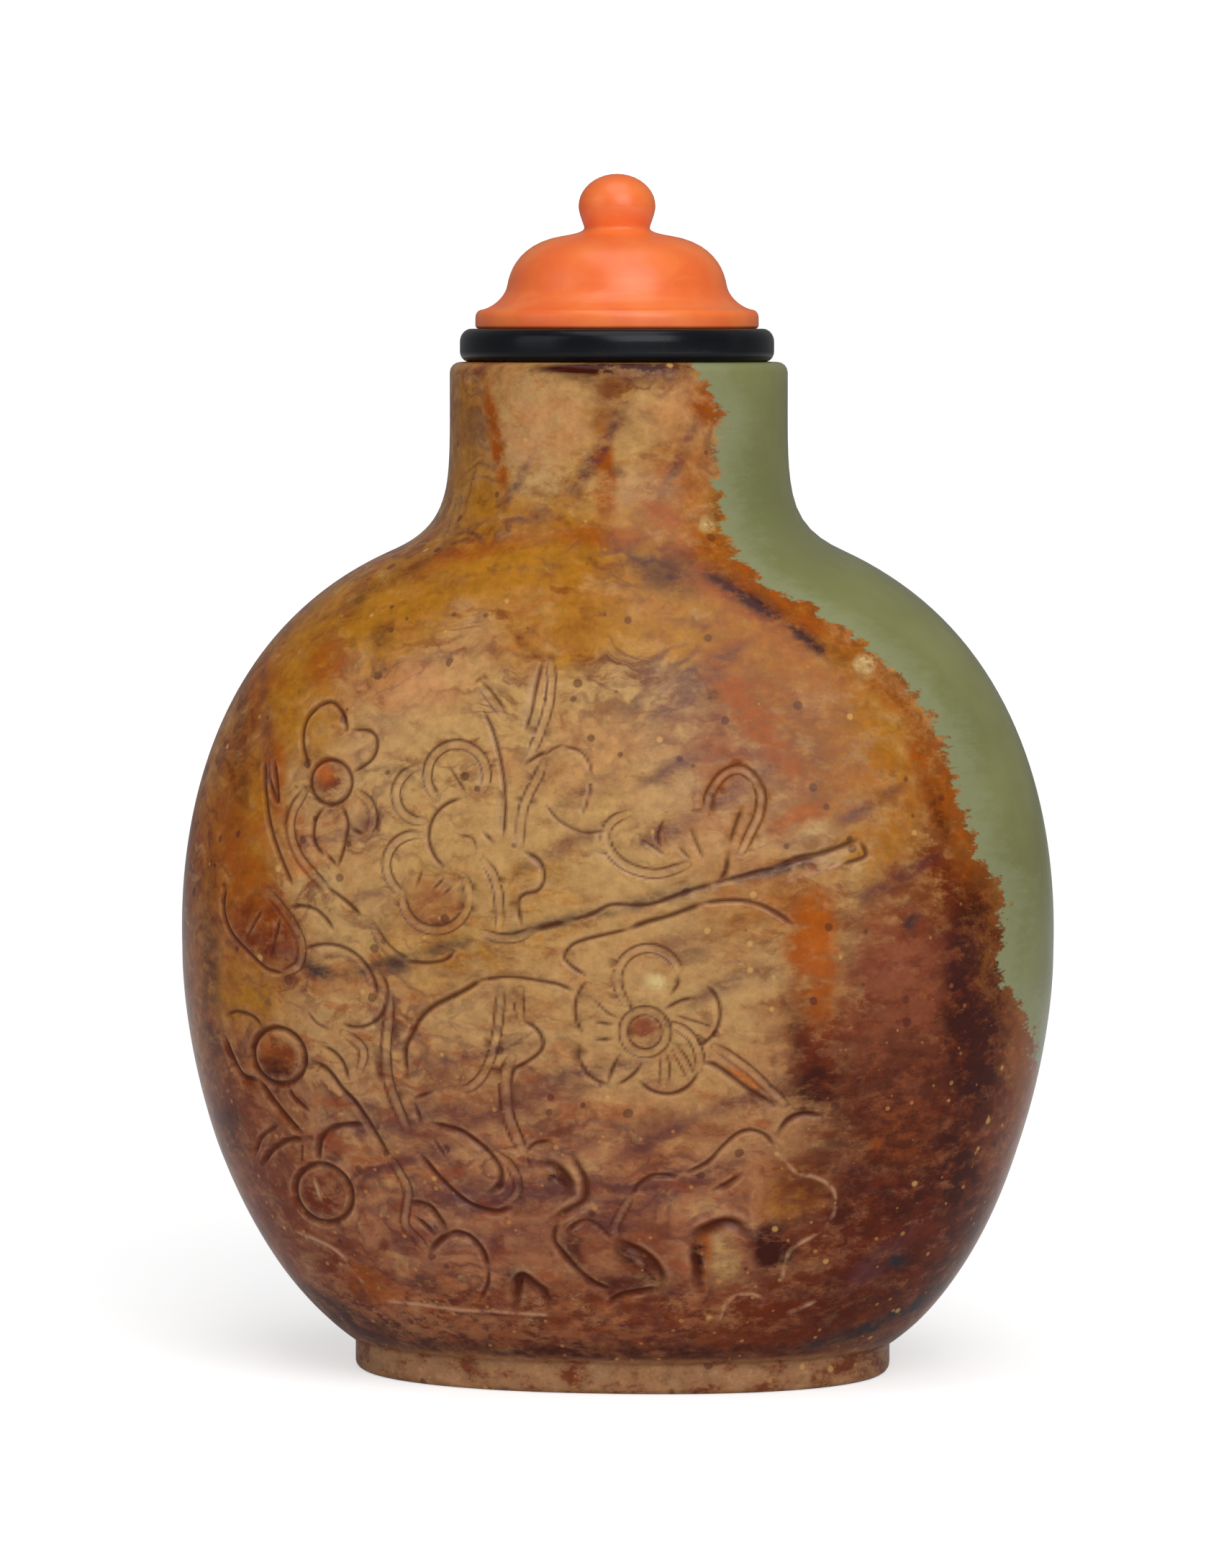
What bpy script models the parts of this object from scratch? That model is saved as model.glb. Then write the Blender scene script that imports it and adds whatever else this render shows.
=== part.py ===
"""Snuff bottle: a flattened hollow jade bottle, carved with prunus over rocks, and its stopper."""
import math

import bmesh
import bpy
import numpy as np
from mathutils import Vector
from mathutils.geometry import interpolate_bezier

# Body, in metres
BODY_WIDTH = 0.0493
BODY_DEPTH = 0.0310
BELLY_HEIGHT = 0.0239
SHOULDER_WIDTH = 0.0255
SHOULDER_HEIGHT = 0.0464
SIDE_SHOULDER_DEPTH = 0.0200
SIDE_SHOULDER_HEIGHT = 0.0488
NECK_DIAMETER = 0.0190
NECK_STRAIGHT = 0.0022
LIP_HEIGHT = 0.0570
LIP_ROUND = 0.0006
SECTION_EXPONENT = 2.25
ROUND_EXPONENT = 2

# Foot ring
FOOT_WIDTH = 0.0304
FOOT_DEPTH = 0.0186
FOOT_HEIGHT = 0.0018
FOOT_STEP = 0.00025
FOOT_ROUND = 0.0004
FOOT_RIM = 0.0022
FOOT_RECESS = 0.0012

# Hollow
WALL = 0.0030
FLOOR = 0.0034
FLOOR_ROUND = 0.0030
BORE_DIAMETER = 0.0076
HOLLOW_SHOULDER_HEIGHT = 0.0400
BORE_BOTTOM_HEIGHT = 0.0462

# Collar, cap and cork
SEAT_GAP = 0.00004
COLLAR_DIAMETER = 0.01766
COLLAR_HEIGHT = 0.00178
COLLAR_TOP_ROUND = 0.00055
COLLAR_FOOT_ROUND = 0.00025
CAP_DIAMETER = 0.01592
CAP_RIM_HEIGHT = 0.00050
CAP_WAIST_DIAMETER = 0.01232
CAP_WAIST_HEIGHT = 0.00245
CAP_CROWN_DIAMETER = 0.00596
CAP_CROWN_HEIGHT = 0.00520
CAP_ROUND = 0.00025
KNOB_NECK_DIAMETER = 0.00368
KNOB_NECK_HEIGHT = 0.00565
KNOB_DIAMETER = 0.00432
KNOB_BELLY_HEIGHT = 0.00685
CAP_HEIGHT = 0.00865
CORK_CLEARANCE = 0.0001
CORK_LENGTH = 0.0078
CORK_TAPER = 0.0006
CORK_ROUND = 0.0005

# Carving: a chisel stroke's width and depth, and its fine and bold forms
STROKE_WIDTH = 0.00046
STROKE_DEPTH = 0.00024
BOLD_RATIO = 1.5
STROKE_STEP = 0.0014
STROKE_LIFT = 0.0003
STROKE_END_RISE = 0.00015

# Faceting
BODY_SIDES = 52
HOLLOW_SIDES = 24
STOPPER_SIDES = 36
SPAN_STEPS = 8
FINE_STEPS = 32
HOLLOW_STEPS = 11
ROUND_STEPS = 2
CAP_STEPS = 3
ARC_STEPS = 4
ARC_STEP_DEGREES = 30
SHARP_DEGREES = 35
MERGE_DISTANCE = 0.000001

# Share of the half width that counts as the face's edge, and the step over which the face's slope is taken
FACE_EDGE_SHARE = 0.999
SLOPE_STEP = 0.2

# Handles of the outline's three curves, foot to belly, belly to shoulder and shoulder to neck. Each handle
# is (share of the way across, share of the way up) between the curve's two ends.
FRONT_HANDLES = (
    ((0.727, 0.184), (1.0, 0.714)),
    ((0.0, 0.068), (-0.077, 0.746)),
    ((1.0, 0.170), (1.0, 0.390)),
)
SIDE_HANDLES = (
    ((0.400, 0.085), (1.0, 0.550)),
    ((0.0, 0.440), (0.745, 0.786)),
    ((0.740, 0.270), (1.0, 0.450)),
)

# The carving lies on the front face. A place there is (across, up): per cent of the body's width from its
# middle, and per cent of the lip's height from the ground. An arc is its centre, its radius in per cent of
# the lip's height, and the angles in degrees that it runs between.
BLOSSOM_ARCS = (
    # five petals of the blossom above the bough
    (-15.3, 60.9, 2.9, 229, -32),
    (-19.3, 59.0, 2.5, 103, 279),
    (-19.8, 52.3, 2.9, 80, 247),
    (-17.5, 49.5, 3.3, 175, 396),
    (-14.3, 55.2, 3.5, 97, 237),
    # petals of the open blossom below the bough
    (6.2, 41.8, 3.0, 229, 19),
    (10.1, 38.6, 3.4, 52, -64),
    (7.7, 34.1, 3.5, 79, -15),
    (8.1, 33.9, 3.1, -18, -143),
    (2.1, 34.8, 3.1, 162, 263),
    (0.8, 35.9, 4.5, -69, -36),
    (2.5, 38.9, 3.8, 136, 216),
    # petals at the left edge
    (-29.8, 39.6, 4.9, 120, -2),
    (-26.7, 39.9, 3.3, 37, -113),
)
RINGS = (
    (5.8, 36.8, 2.0),
    (-29.8, 59.9, 2.1),
    (-36.0, 33.2, 2.8),
    (-31.2, 19.7, 3.0),
)
FINE_STROKES = (
    # twigs above the bough
    ((-13.0, 69.5), (-10.3, 66.7)),
    ((-12.4, 66.3), (-11.0, 64.0), (-10.0, 60.5), (-9.9, 55.9)),
    ((-6.3, 71.5), (-6.8, 68.5), (-7.7, 65.2)),
    ((-5.1, 71.7), (-5.1, 68.5), (-5.9, 65.4), (-7.0, 63.2)),
    ((-7.7, 62.0), (-6.0, 62.9), (-3.6, 63.8)),
    ((-5.8, 61.9), (-7.1, 59.4), (-8.0, 57.2), (-8.1, 54.3)),
    ((-7.5, 53.8), (-5.3, 52.0), (-6.2, 50.1), (-8.1, 49.3), (-7.9, 47.2)),
    ((-12.1, 52.9), (-10.8, 51.0), (-10.2, 48.8), (-10.2, 46.8)),
    # bud and cupped blossom on the bough
    ((12.3, 57.8), (13.2, 60.1), (16.1, 61.6), (18.2, 59.7), (18.0, 57.0), (16.2, 53.8)),
    ((15.9, 57.0), (14.8, 54.5), (14.5, 51.8)),
    ((3.8, 57.5), (1.5, 55.9), (1.7, 54.4), (5.0, 52.1), (8.0, 52.0), (10.8, 53.0)),
    # side blossom at the left edge
    ((-32.6, 61.4), (-33.4, 64.2), (-32.6, 66.2), (-30.4, 67.5), (-28.8, 66.4), (-28.1, 64.6)),
    ((-27.3, 64.9), (-25.1, 64.8), (-24.6, 63.2), (-27.0, 61.2)),
    ((-26.7, 59.0), (-24.9, 57.4), (-25.2, 55.1), (-27.4, 55.7)),
    ((-30.7, 57.3), (-31.7, 55.5), (-31.0, 53.5), (-29.2, 52.1), (-28.0, 54.4), (-28.2, 57.4)),
    (
        (-32.6, 58.6), (-34.4, 57.0), (-34.5, 54.9), (-33.0, 52.2),
        (-30.2, 50.2), (-27.8, 48.6), (-26.0, 47.4),
    ),
    ((-38.0, 61.3), (-37.7, 58.6), (-36.8, 55.2), (-34.4, 50.5)),
    # leaf and bud below it
    (
        (-37.1, 49.0), (-34.9, 47.2), (-33.3, 45.0), (-33.4, 42.4),
        (-36.0, 41.3), (-39.4, 43.0), (-42.3, 45.8),
    ),
    ((-34.3, 47.7), (-33.2, 48.0), (-31.5, 47.8), (-30.2, 47.0)),
    ((-24.6, 46.3), (-22.3, 43.8), (-18.6, 43.2), (-15.4, 44.1)),
    ((-32.2, 37.8), (-31.0, 36.5), (-28.1, 35.8), (-25.9, 34.2), (-26.3, 32.3)),
    ((-42.6, 35.6), (-41.9, 32.6), (-39.6, 30.2), (-36.8, 28.6), (-34.7, 26.4)),
    ((-38.9, 22.2), (-37.2, 23.8), (-35.0, 24.9), (-33.2, 25.0)),
    ((-31.4, 23.8), (-31.2, 25.2), (-29.6, 26.6), (-26.6, 27.0)),
    # stems below the bough
    ((-10.1, 40.9), (-10.5, 37.0), (-11.6, 33.6), (-14.6, 31.0)),
    ((-7.9, 40.8), (-8.0, 39.1), (-7.4, 37.6), (-5.6, 36.0), (-7.0, 33.9), (-8.9, 32.9)),
    ((-22.8, 39.6), (-23.1, 34.7), (-22.7, 30.5), (-20.9, 26.7)),
    ((-7.4, 25.2), (-6.4, 25.9), (-4.6, 26.1)),
    ((12.2, 33.8), (13.6, 33.5), (17.4, 31.0), (20.0, 29.3)),
    ((13.4, 35.4), (17.4, 32.9), (20.9, 29.9)),
    ((-20.6, 19.5), (-18.8, 19.2), (-17.4, 17.7), (-16.8, 16.9)),
)
BOLD_STROKES = (
    # the bough: its upper edge, its lower edge, its sawn end and its left part
    (
        (-12.2, 46.0), (-9.5, 45.6), (-2.6, 47.3), (3.5, 49.1),
        (8.0, 49.4), (16.2, 51.6), (25.0, 53.7), (28.8, 54.8),
    ),
    ((-0.9, 42.4), (-3.0, 43.9), (-0.7, 45.6), (6.0, 47.3), (12.0, 49.1), (16.3, 49.3), (21.8, 47.0)),
    ((29.6, 54.2), (29.5, 53.2), (24.3, 51.8), (21.5, 51.0)),
    ((-2.1, 40.7), (-8.0, 41.9), (-12.2, 41.6), (-17.6, 39.0), (-20.6, 35.5), (-20.9, 32.2)),
    # long stems at the left and below the middle
    (
        (-31.9, 33.0), (-28.6, 30.6), (-25.0, 26.7), (-22.4, 23.3),
        (-21.1, 20.6), (-21.5, 17.4), (-19.1, 14.5),
    ),
    ((-8.9, 34.0), (-9.7, 31.5), (-9.7, 28.6), (-7.9, 25.3)),
    # folded leaf
    ((-18.2, 27.5), (-15.0, 26.9), (-11.8, 24.8), (-10.2, 22.3), (-11.7, 20.9)),
    ((-10.6, 24.4), (-8.6, 22.0), (-9.5, 20.2)),
    ((-19.4, 24.2), (-16.6, 21.5), (-12.6, 19.1), (-9.4, 19.0)),
    # rocks
    ((-18.6, 14.9), (-17.0, 16.2), (-15.4, 16.7), (-13.4, 15.4), (-12.2, 13.1), (-12.6, 10.8)),
    ((-9.2, 9.4), (-8.9, 11.4), (-8.1, 12.3), (-6.4, 11.0), (-5.8, 9.6)),
    (
        (-2.5, 24.8), (-1.0, 22.2), (-1.1, 20.2), (-2.7, 19.3),
        (-4.7, 17.9), (-4.4, 15.6), (-2.1, 13.1), (1.2, 11.1),
    ),
    ((-5.7, 23.7), (-4.0, 23.3), (-2.9, 21.6), (-3.0, 20.5)),
    ((-3.2, 17.4), (-1.4, 18.2), (0.4, 17.7), (1.6, 16.6)),
    (
        (9.2, 22.7), (6.6, 22.8), (4.7, 21.7), (2.4, 18.4), (2.6, 16.5),
        (5.1, 14.9), (7.1, 12.6), (5.6, 11.0), (2.4, 10.2),
    ),
    ((10.3, 23.1), (13.3, 24.8), (15.8, 26.9), (18.2, 27.1), (19.8, 25.6)),
    ((20.4, 27.0), (21.4, 28.2), (23.2, 28.7), (25.0, 28.5)),
    ((20.4, 24.9), (22.0, 22.9), (25.0, 22.2), (26.4, 20.0), (25.5, 17.6), (22.0, 15.4), (20.4, 12.2)),
    ((10.9, 11.4), (10.8, 15.4), (12.2, 17.3), (14.6, 18.0), (16.7, 16.7)),
    ((13.4, 8.2), (14.6, 10.2), (17.0, 10.8), (18.6, 10.0)),
    ((20.2, 8.4), (24.0, 9.7)),
    ((-24.9, 9.1), (-20.0, 8.9), (-14.0, 8.7)),
)

# Outline of the body


def curve(start, end, handles, steps):
    """Points of a curve between two (half size, height) ends, without its last point"""
    start, end = Vector(start), Vector(end)
    corners = [start]
    for out, up in handles:
        corners.append(start + Vector(((end.x - start.x) * out, (end.y - start.y) * up)))
    corners.append(end)
    return [tuple(point) for point in interpolate_bezier(*corners, steps + 1)][:-1]


def outline(ends, handles, steps):
    """(half size, height) points from the foot's top to the neck's straight part"""
    points = []
    for start, end, pair in zip(ends, ends[1:], handles):
        points += curve(start, end, pair, steps)
    return np.array(points + [ends[-1]])


def front_outline(steps):
    """The outline that the front view shows"""
    ends = (
        (FOOT_WIDTH / 2 + FOOT_STEP, FOOT_HEIGHT),
        (BODY_WIDTH / 2, BELLY_HEIGHT),
        (SHOULDER_WIDTH / 2, SHOULDER_HEIGHT),
        (NECK_DIAMETER / 2, LIP_HEIGHT - NECK_STRAIGHT),
    )
    return outline(ends, FRONT_HANDLES, steps)


def side_outline(steps):
    """The outline that the side view shows"""
    ends = (
        (FOOT_DEPTH / 2 + FOOT_STEP, FOOT_HEIGHT),
        (BODY_DEPTH / 2, BELLY_HEIGHT),
        (SIDE_SHOULDER_DEPTH / 2, SIDE_SHOULDER_HEIGHT),
        (NECK_DIAMETER / 2, LIP_HEIGHT - NECK_STRAIGHT),
    )
    return outline(ends, SIDE_HANDLES, steps)


def half_size(points, height):
    """Half size of an outline at a height"""
    return float(np.interp(height, points[:, 1], points[:, 0]))


def inset(points, wall):
    """The outline moved inwards by the wall's thickness, square to itself"""
    run = np.gradient(points, axis=0)
    run /= np.linalg.norm(run, axis=1)[:, None]
    moved = points + wall * np.column_stack((-run[:, 1], run[:, 0]))
    rising = np.concatenate(([True], np.diff(np.maximum.accumulate(moved[:, 1])) > 0))
    return moved[rising]


def ease(value, start, end):
    """Smooth step from 0 at start to 1 at end"""
    share = min(1.0, max(0.0, (value - start) / (end - start)))
    return share * share * (3 - 2 * share)


def squareness(height):
    """Exponent of the body's cross-section: a soft rectangle at the belly, a circle at the neck"""
    share = ease(height, HOLLOW_SHOULDER_HEIGHT, SIDE_SHOULDER_HEIGHT)
    return SECTION_EXPONENT + (ROUND_EXPONENT - SECTION_EXPONENT) * share


# Solids from rows


def solid(name, rows, sides, squares=None):
    """Closed solid from rows of (half width, half depth, height), each a ring with the same sides"""
    mesh = bmesh.new()
    column = [mesh.verts.new((1, 0, row)) for row in range(len(rows))]
    edges = [mesh.edges.new(pair) for pair in zip(column, column[1:])]
    bmesh.ops.spin(mesh, geom=column + edges, cent=(0, 0, 0), axis=(0, 0, 1), angle=math.tau, steps=sides,
                   use_merge=True, use_duplicate=False)
    bmesh.ops.holes_fill(mesh, edges=[edge for edge in mesh.edges if edge.is_boundary], sides=0)
    for vert in mesh.verts:
        row = round(vert.co.z)
        width, depth, height = rows[row]
        power = ROUND_EXPONENT / (squares[row] if squares else ROUND_EXPONENT)
        across = math.copysign(abs(vert.co.x) ** power, vert.co.x)
        along = math.copysign(abs(vert.co.y) ** power, vert.co.y)
        vert.co = (width * across, depth * along, height)
    bmesh.ops.remove_doubles(mesh, verts=mesh.verts, dist=MERGE_DISTANCE)
    bmesh.ops.recalc_face_normals(mesh, faces=mesh.faces)
    return as_object(name, mesh)


def as_object(name, mesh):
    """Scene object from a bmesh"""
    data = bpy.data.meshes.new(name)
    mesh.to_mesh(data)
    mesh.free()
    item = bpy.data.objects.new(name, data)
    bpy.context.scene.collection.objects.link(item)
    return item


def rounded(half, start, end, radius, steps=ROUND_STEPS):
    """(shrink, height) rows of a round edge that starts at one height and ends at another"""
    turns = [math.pi / 2 * step / steps for step in range(steps + 1)]
    rise = end - start
    return [(half - radius * (1 - math.cos(turn)), start + rise * math.sin(turn)) for turn in turns]


def body_rows():
    """Rows of the bottle's outer skin"""
    front = front_outline(SPAN_STEPS)
    fine_side = side_outline(FINE_STEPS)
    rows = []
    for shrink, height in reversed(rounded(0.0, FOOT_ROUND, 0.0, FOOT_ROUND)):
        rows.append((FOOT_WIDTH / 2 + shrink, FOOT_DEPTH / 2 + shrink, height))
    rows.append((FOOT_WIDTH / 2, FOOT_DEPTH / 2, FOOT_HEIGHT))
    for half, height in front:
        rows.append((half, half_size(fine_side, height), height))
    for shrink, height in rounded(0.0, LIP_HEIGHT - LIP_ROUND, LIP_HEIGHT, LIP_ROUND):
        rows.append((NECK_DIAMETER / 2 + shrink, NECK_DIAMETER / 2 + shrink, height))
    return rows


def hollow_rows():
    """Rows of the hollow: a rounded floor, walls along the skin, a shoulder and the bore through the lip"""
    front = inset(front_outline(FINE_STEPS), WALL)
    side = inset(side_outline(FINE_STEPS), WALL)
    floor = FOOT_RECESS + FLOOR
    bore = BORE_DIAMETER / 2
    rows = []
    for shrink, height in reversed(rounded(0.0, floor + FLOOR_ROUND, floor, FLOOR_ROUND)):
        rows.append((half_size(front, height) + shrink, half_size(side, height) + shrink, height))
    heights = np.linspace(floor + FLOOR_ROUND, BORE_BOTTOM_HEIGHT, HOLLOW_STEPS)
    for height in heights[1:]:
        closing = ease(height, HOLLOW_SHOULDER_HEIGHT, BORE_BOTTOM_HEIGHT)
        sizes = [half_size(wall, height) * (1 - closing) + bore * closing for wall in (front, side)]
        rows.append((*sizes, float(height)))
    rows.append((bore, bore, LIP_HEIGHT + WALL))
    return rows


def shaded(item):
    """Smooth shading with sharp edges where the form turns"""
    item.data.shade_smooth()
    item.data.set_sharp_from_angle(angle=math.radians(SHARP_DEGREES))
    return item


# Carving


def on_front(across, up):
    """Point on the front face at per cent of the body's width and of the lip's height"""
    x = across / 100 * BODY_WIDTH
    z = up / 100 * LIP_HEIGHT
    power = squareness(z)
    reach = min(FACE_EDGE_SHARE, abs(x) / half_size(FRONT, z))
    return Vector((x, -half_size(SIDE, z) * (1 - reach ** power) ** (1 / power), z))


def face_normal(across, up):
    """Outward direction of the front face at a place"""
    sideways = on_front(across + SLOPE_STEP, up) - on_front(across - SLOPE_STEP, up)
    upwards = on_front(across, up + SLOPE_STEP) - on_front(across, up - SLOPE_STEP)
    return sideways.cross(upwards).normalized()


def arc_places(across, up, radius, start, end):
    """Places along an arc on the face"""
    steps = max(ARC_STEPS, round(abs(end - start) / ARC_STEP_DEGREES))
    turns = np.radians(np.linspace(start, end, steps + 1))
    sideways = radius * LIP_HEIGHT / BODY_WIDTH
    return [(across + sideways * math.cos(turn), up + radius * math.sin(turn)) for turn in turns]


def smooth_places(places):
    """Places along a curve that passes through the given ones"""
    knots = [Vector(place) for place in places]
    knots = [knots[0]] + knots + [knots[-1]]
    path = []
    for before, start, end, after in zip(knots, knots[1:], knots[2:], knots[3:]):
        length = (on_front(*end) - on_front(*start)).length
        count = max(1, round(length / STROKE_STEP))
        handles = start + (end - before) / 6, end - (after - start) / 6
        path += interpolate_bezier(start, *handles, end, count + 1)[:-1]
    return [tuple(place) for place in path] + [places[-1]]


def stroke_cutter(places, closed, scale, collection):
    """Wedge that cuts one chisel stroke: it follows the face and rises out of it at an open end"""
    mesh = bmesh.new()
    sections = []
    points = [on_front(*place) for place in places]
    for index, place in enumerate(places):
        at_end = not closed and index in (0, len(places) - 1)
        before = points[index - 1] if closed or index else points[0]
        after = points[(index + 1) % len(points)] if closed or index + 1 < len(points) else points[-1]
        outward = face_normal(*place)
        sideways = outward.cross(after - before).normalized()
        depth = -STROKE_END_RISE if at_end else STROKE_DEPTH * scale
        half = STROKE_WIDTH * scale / 2 * (STROKE_LIFT + STROKE_DEPTH) / STROKE_DEPTH
        top = points[index] + outward * STROKE_LIFT
        corners = (top - sideways * half, top + sideways * half, points[index] - outward * depth)
        sections.append([mesh.verts.new(corner) for corner in corners])
    pairs = list(zip(sections, sections[1:])) + ([(sections[-1], sections[0])] if closed else [])
    for one, two in pairs:
        for side in range(3):
            mesh.faces.new((one[side], one[side - 1], two[side - 1], two[side]))
    if not closed:
        mesh.faces.new(sections[0])
        mesh.faces.new(reversed(sections[-1]))
    bmesh.ops.recalc_face_normals(mesh, faces=mesh.faces)
    bmesh.ops.triangulate(mesh, faces=mesh.faces)
    cutter = as_object("stroke_cutter", mesh)
    bpy.context.scene.collection.objects.unlink(cutter)
    collection.objects.link(cutter)
    as_cutter(cutter)


def carve_strokes(collection):
    """All chisel strokes of the front face"""
    for across, up, radius in RINGS:
        stroke_cutter(arc_places(across, up, radius, 0, 360)[:-1], True, 1.0, collection)
    for arc in BLOSSOM_ARCS:
        stroke_cutter(arc_places(*arc), False, 1.0, collection)
    for stroke in FINE_STROKES:
        stroke_cutter(smooth_places(stroke), False, 1.0, collection)
    for stroke in BOLD_STROKES:
        stroke_cutter(smooth_places(stroke), False, BOLD_RATIO, collection)


def as_cutter(item):
    """Marks an object as a cutter, which is left out of the model"""
    item.hide_render = True
    item.display_type = "WIRE"


def cut(item, cutter):
    """Cuts one object out of another"""
    as_cutter(cutter)
    modifier = item.modifiers.new(cutter.name, "BOOLEAN")
    modifier.operation = "DIFFERENCE"
    modifier.solver = "EXACT"
    modifier.object = cutter


# Pieces


def material(name, colour, roughness, metallic=0.0):
    """Plain material of one piece"""
    item = bpy.data.materials.new(name)
    item.use_nodes = True
    shader = item.node_tree.nodes["Principled BSDF"]
    shader.inputs["Base Color"].default_value = (*colour, 1)
    shader.inputs["Roughness"].default_value = roughness
    shader.inputs["Metallic"].default_value = metallic
    return item


def make_bottle():
    """Hollow carved bottle with its foot ring"""
    rows = body_rows()
    bottle = shaded(solid("bottle", rows, BODY_SIDES, [squareness(row[2]) for row in rows]))
    hollow = hollow_rows()
    cut(bottle, solid("hollow_cutter", hollow, HOLLOW_SIDES, [squareness(row[2]) for row in hollow]))
    wide, deep = FOOT_WIDTH / 2 - FOOT_RIM, FOOT_DEPTH / 2 - FOOT_RIM
    recess = [(wide, deep, -WALL), (wide, deep, FOOT_RECESS)]
    cut(bottle, solid("recess_cutter", recess, HOLLOW_SIDES, [SECTION_EXPONENT] * 2))
    strokes = bpy.data.collections.new("stroke_cutters")
    bpy.context.scene.collection.children.link(strokes)
    carve_strokes(strokes)
    modifier = bottle.modifiers.new("strokes", "BOOLEAN")
    modifier.operation = "DIFFERENCE"
    modifier.solver = "EXACT"
    modifier.operand_type = "COLLECTION"
    modifier.collection = strokes
    bottle.data.materials.append(material("russet jade", (0.36, 0.19, 0.09), 0.32))
    return bottle


def make_collar():
    """Black disc with a rounded edge on the lip"""
    foot = LIP_HEIGHT + SEAT_GAP
    top = foot + COLLAR_HEIGHT
    half = COLLAR_DIAMETER / 2
    edge = list(reversed(rounded(half, foot + COLLAR_FOOT_ROUND, foot, COLLAR_FOOT_ROUND)))
    edge += rounded(half, top - COLLAR_TOP_ROUND, top, COLLAR_TOP_ROUND)
    collar = solid("collar", [(size, size, height) for size, height in edge], STOPPER_SIDES)
    collar.data.materials.append(material("black collar", (0.012, 0.011, 0.010), 0.12))
    return shaded(collar)


def make_cap():
    """Coral-coloured cap: a thin rim that sweeps up to a dome with a knob"""
    foot = LIP_HEIGHT + SEAT_GAP + COLLAR_HEIGHT + SEAT_GAP
    half = CAP_DIAMETER / 2
    rim = list(reversed(rounded(half, CAP_ROUND, 0.0, CAP_ROUND)))
    ends = (
        (half, CAP_RIM_HEIGHT),
        (CAP_WAIST_DIAMETER / 2, CAP_WAIST_HEIGHT),
        (CAP_CROWN_DIAMETER / 2, CAP_CROWN_HEIGHT),
        (KNOB_NECK_DIAMETER / 2, KNOB_NECK_HEIGHT),
        (KNOB_DIAMETER / 2, KNOB_BELLY_HEIGHT),
        (0.0, CAP_HEIGHT),
    )
    handles = (
        ((-0.02, 0.26), (0.81, 0.42)),
        ((0.05, 0.33), (0.24, 0.87)),
        ((0.68, 0.27), (1.0, 0.55)),
        ((0.25, 0.25), (1.0, 0.67)),
        ((0.0, 0.54), (0.44, 1.0)),
    )
    profile = outline(ends, handles, CAP_STEPS)
    rows = [(size, size, foot + height) for size, height in rim + [tuple(point) for point in profile]]
    cap = solid("stopper_cap", rows, STOPPER_SIDES)
    cap.data.materials.append(material("coral cap", (0.75, 0.14, 0.04), 0.30))
    return shaded(cap)


def make_cork():
    """Tapered cork plug that hangs from the collar into the bore"""
    top = LIP_HEIGHT
    half = BORE_DIAMETER / 2 - CORK_CLEARANCE
    tip = half - CORK_TAPER
    foot = top - CORK_LENGTH
    edge = list(reversed(rounded(tip, foot + CORK_ROUND, foot, CORK_ROUND)))
    rows = [(size, size, height) for size, height in edge] + [(half, half, top)]
    cork = solid("stopper_cork", rows, HOLLOW_SIDES)
    cork.data.materials.append(material("cork", (0.45, 0.28, 0.15), 0.85))
    return shaded(cork)


for leftover in list(bpy.data.objects):
    bpy.data.objects.remove(leftover)

FRONT = front_outline(FINE_STEPS)
SIDE = side_outline(FINE_STEPS)

make_bottle()
make_collar()
make_cap()
make_cork()
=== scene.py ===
import math

import bmesh
import bpy
import numpy as np
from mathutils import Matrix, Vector
from mathutils.geometry import interpolate_bezier


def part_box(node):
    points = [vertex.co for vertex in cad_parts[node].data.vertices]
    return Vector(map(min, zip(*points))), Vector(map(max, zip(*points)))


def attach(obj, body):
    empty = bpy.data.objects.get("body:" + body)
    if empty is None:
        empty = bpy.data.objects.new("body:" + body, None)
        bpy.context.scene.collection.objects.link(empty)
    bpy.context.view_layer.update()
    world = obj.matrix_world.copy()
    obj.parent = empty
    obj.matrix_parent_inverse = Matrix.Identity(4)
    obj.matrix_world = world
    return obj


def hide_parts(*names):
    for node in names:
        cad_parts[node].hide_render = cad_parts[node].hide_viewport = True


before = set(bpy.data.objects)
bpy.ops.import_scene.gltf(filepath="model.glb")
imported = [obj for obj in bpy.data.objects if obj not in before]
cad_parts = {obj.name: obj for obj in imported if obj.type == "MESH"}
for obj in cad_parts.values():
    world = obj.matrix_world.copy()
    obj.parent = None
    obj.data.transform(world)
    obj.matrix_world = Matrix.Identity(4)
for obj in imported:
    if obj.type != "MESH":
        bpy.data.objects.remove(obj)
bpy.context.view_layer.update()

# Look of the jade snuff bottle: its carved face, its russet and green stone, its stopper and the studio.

bl_info = {
    "name": "Jade Snuff Bottle",
    "version": (1, 0, 0),
    "blender": (4, 5, 0),
    "location": "3D View > Sidebar > Snuff Bottle",
    "description": "Models a carved jade snuff bottle with its stopper, and a studio to show it in",
    "category": "Object",
}

BOTTLE_LOW, BOTTLE_HIGH = (Vector(corner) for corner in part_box("bottle"))
_, COLLAR_HIGH = (Vector(corner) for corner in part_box("collar"))
CAP_LOW, CAP_HIGH = (Vector(corner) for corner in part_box("stopper_cap"))
CORK_LOW, CORK_HIGH = (Vector(corner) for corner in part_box("stopper_cork"))

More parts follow.
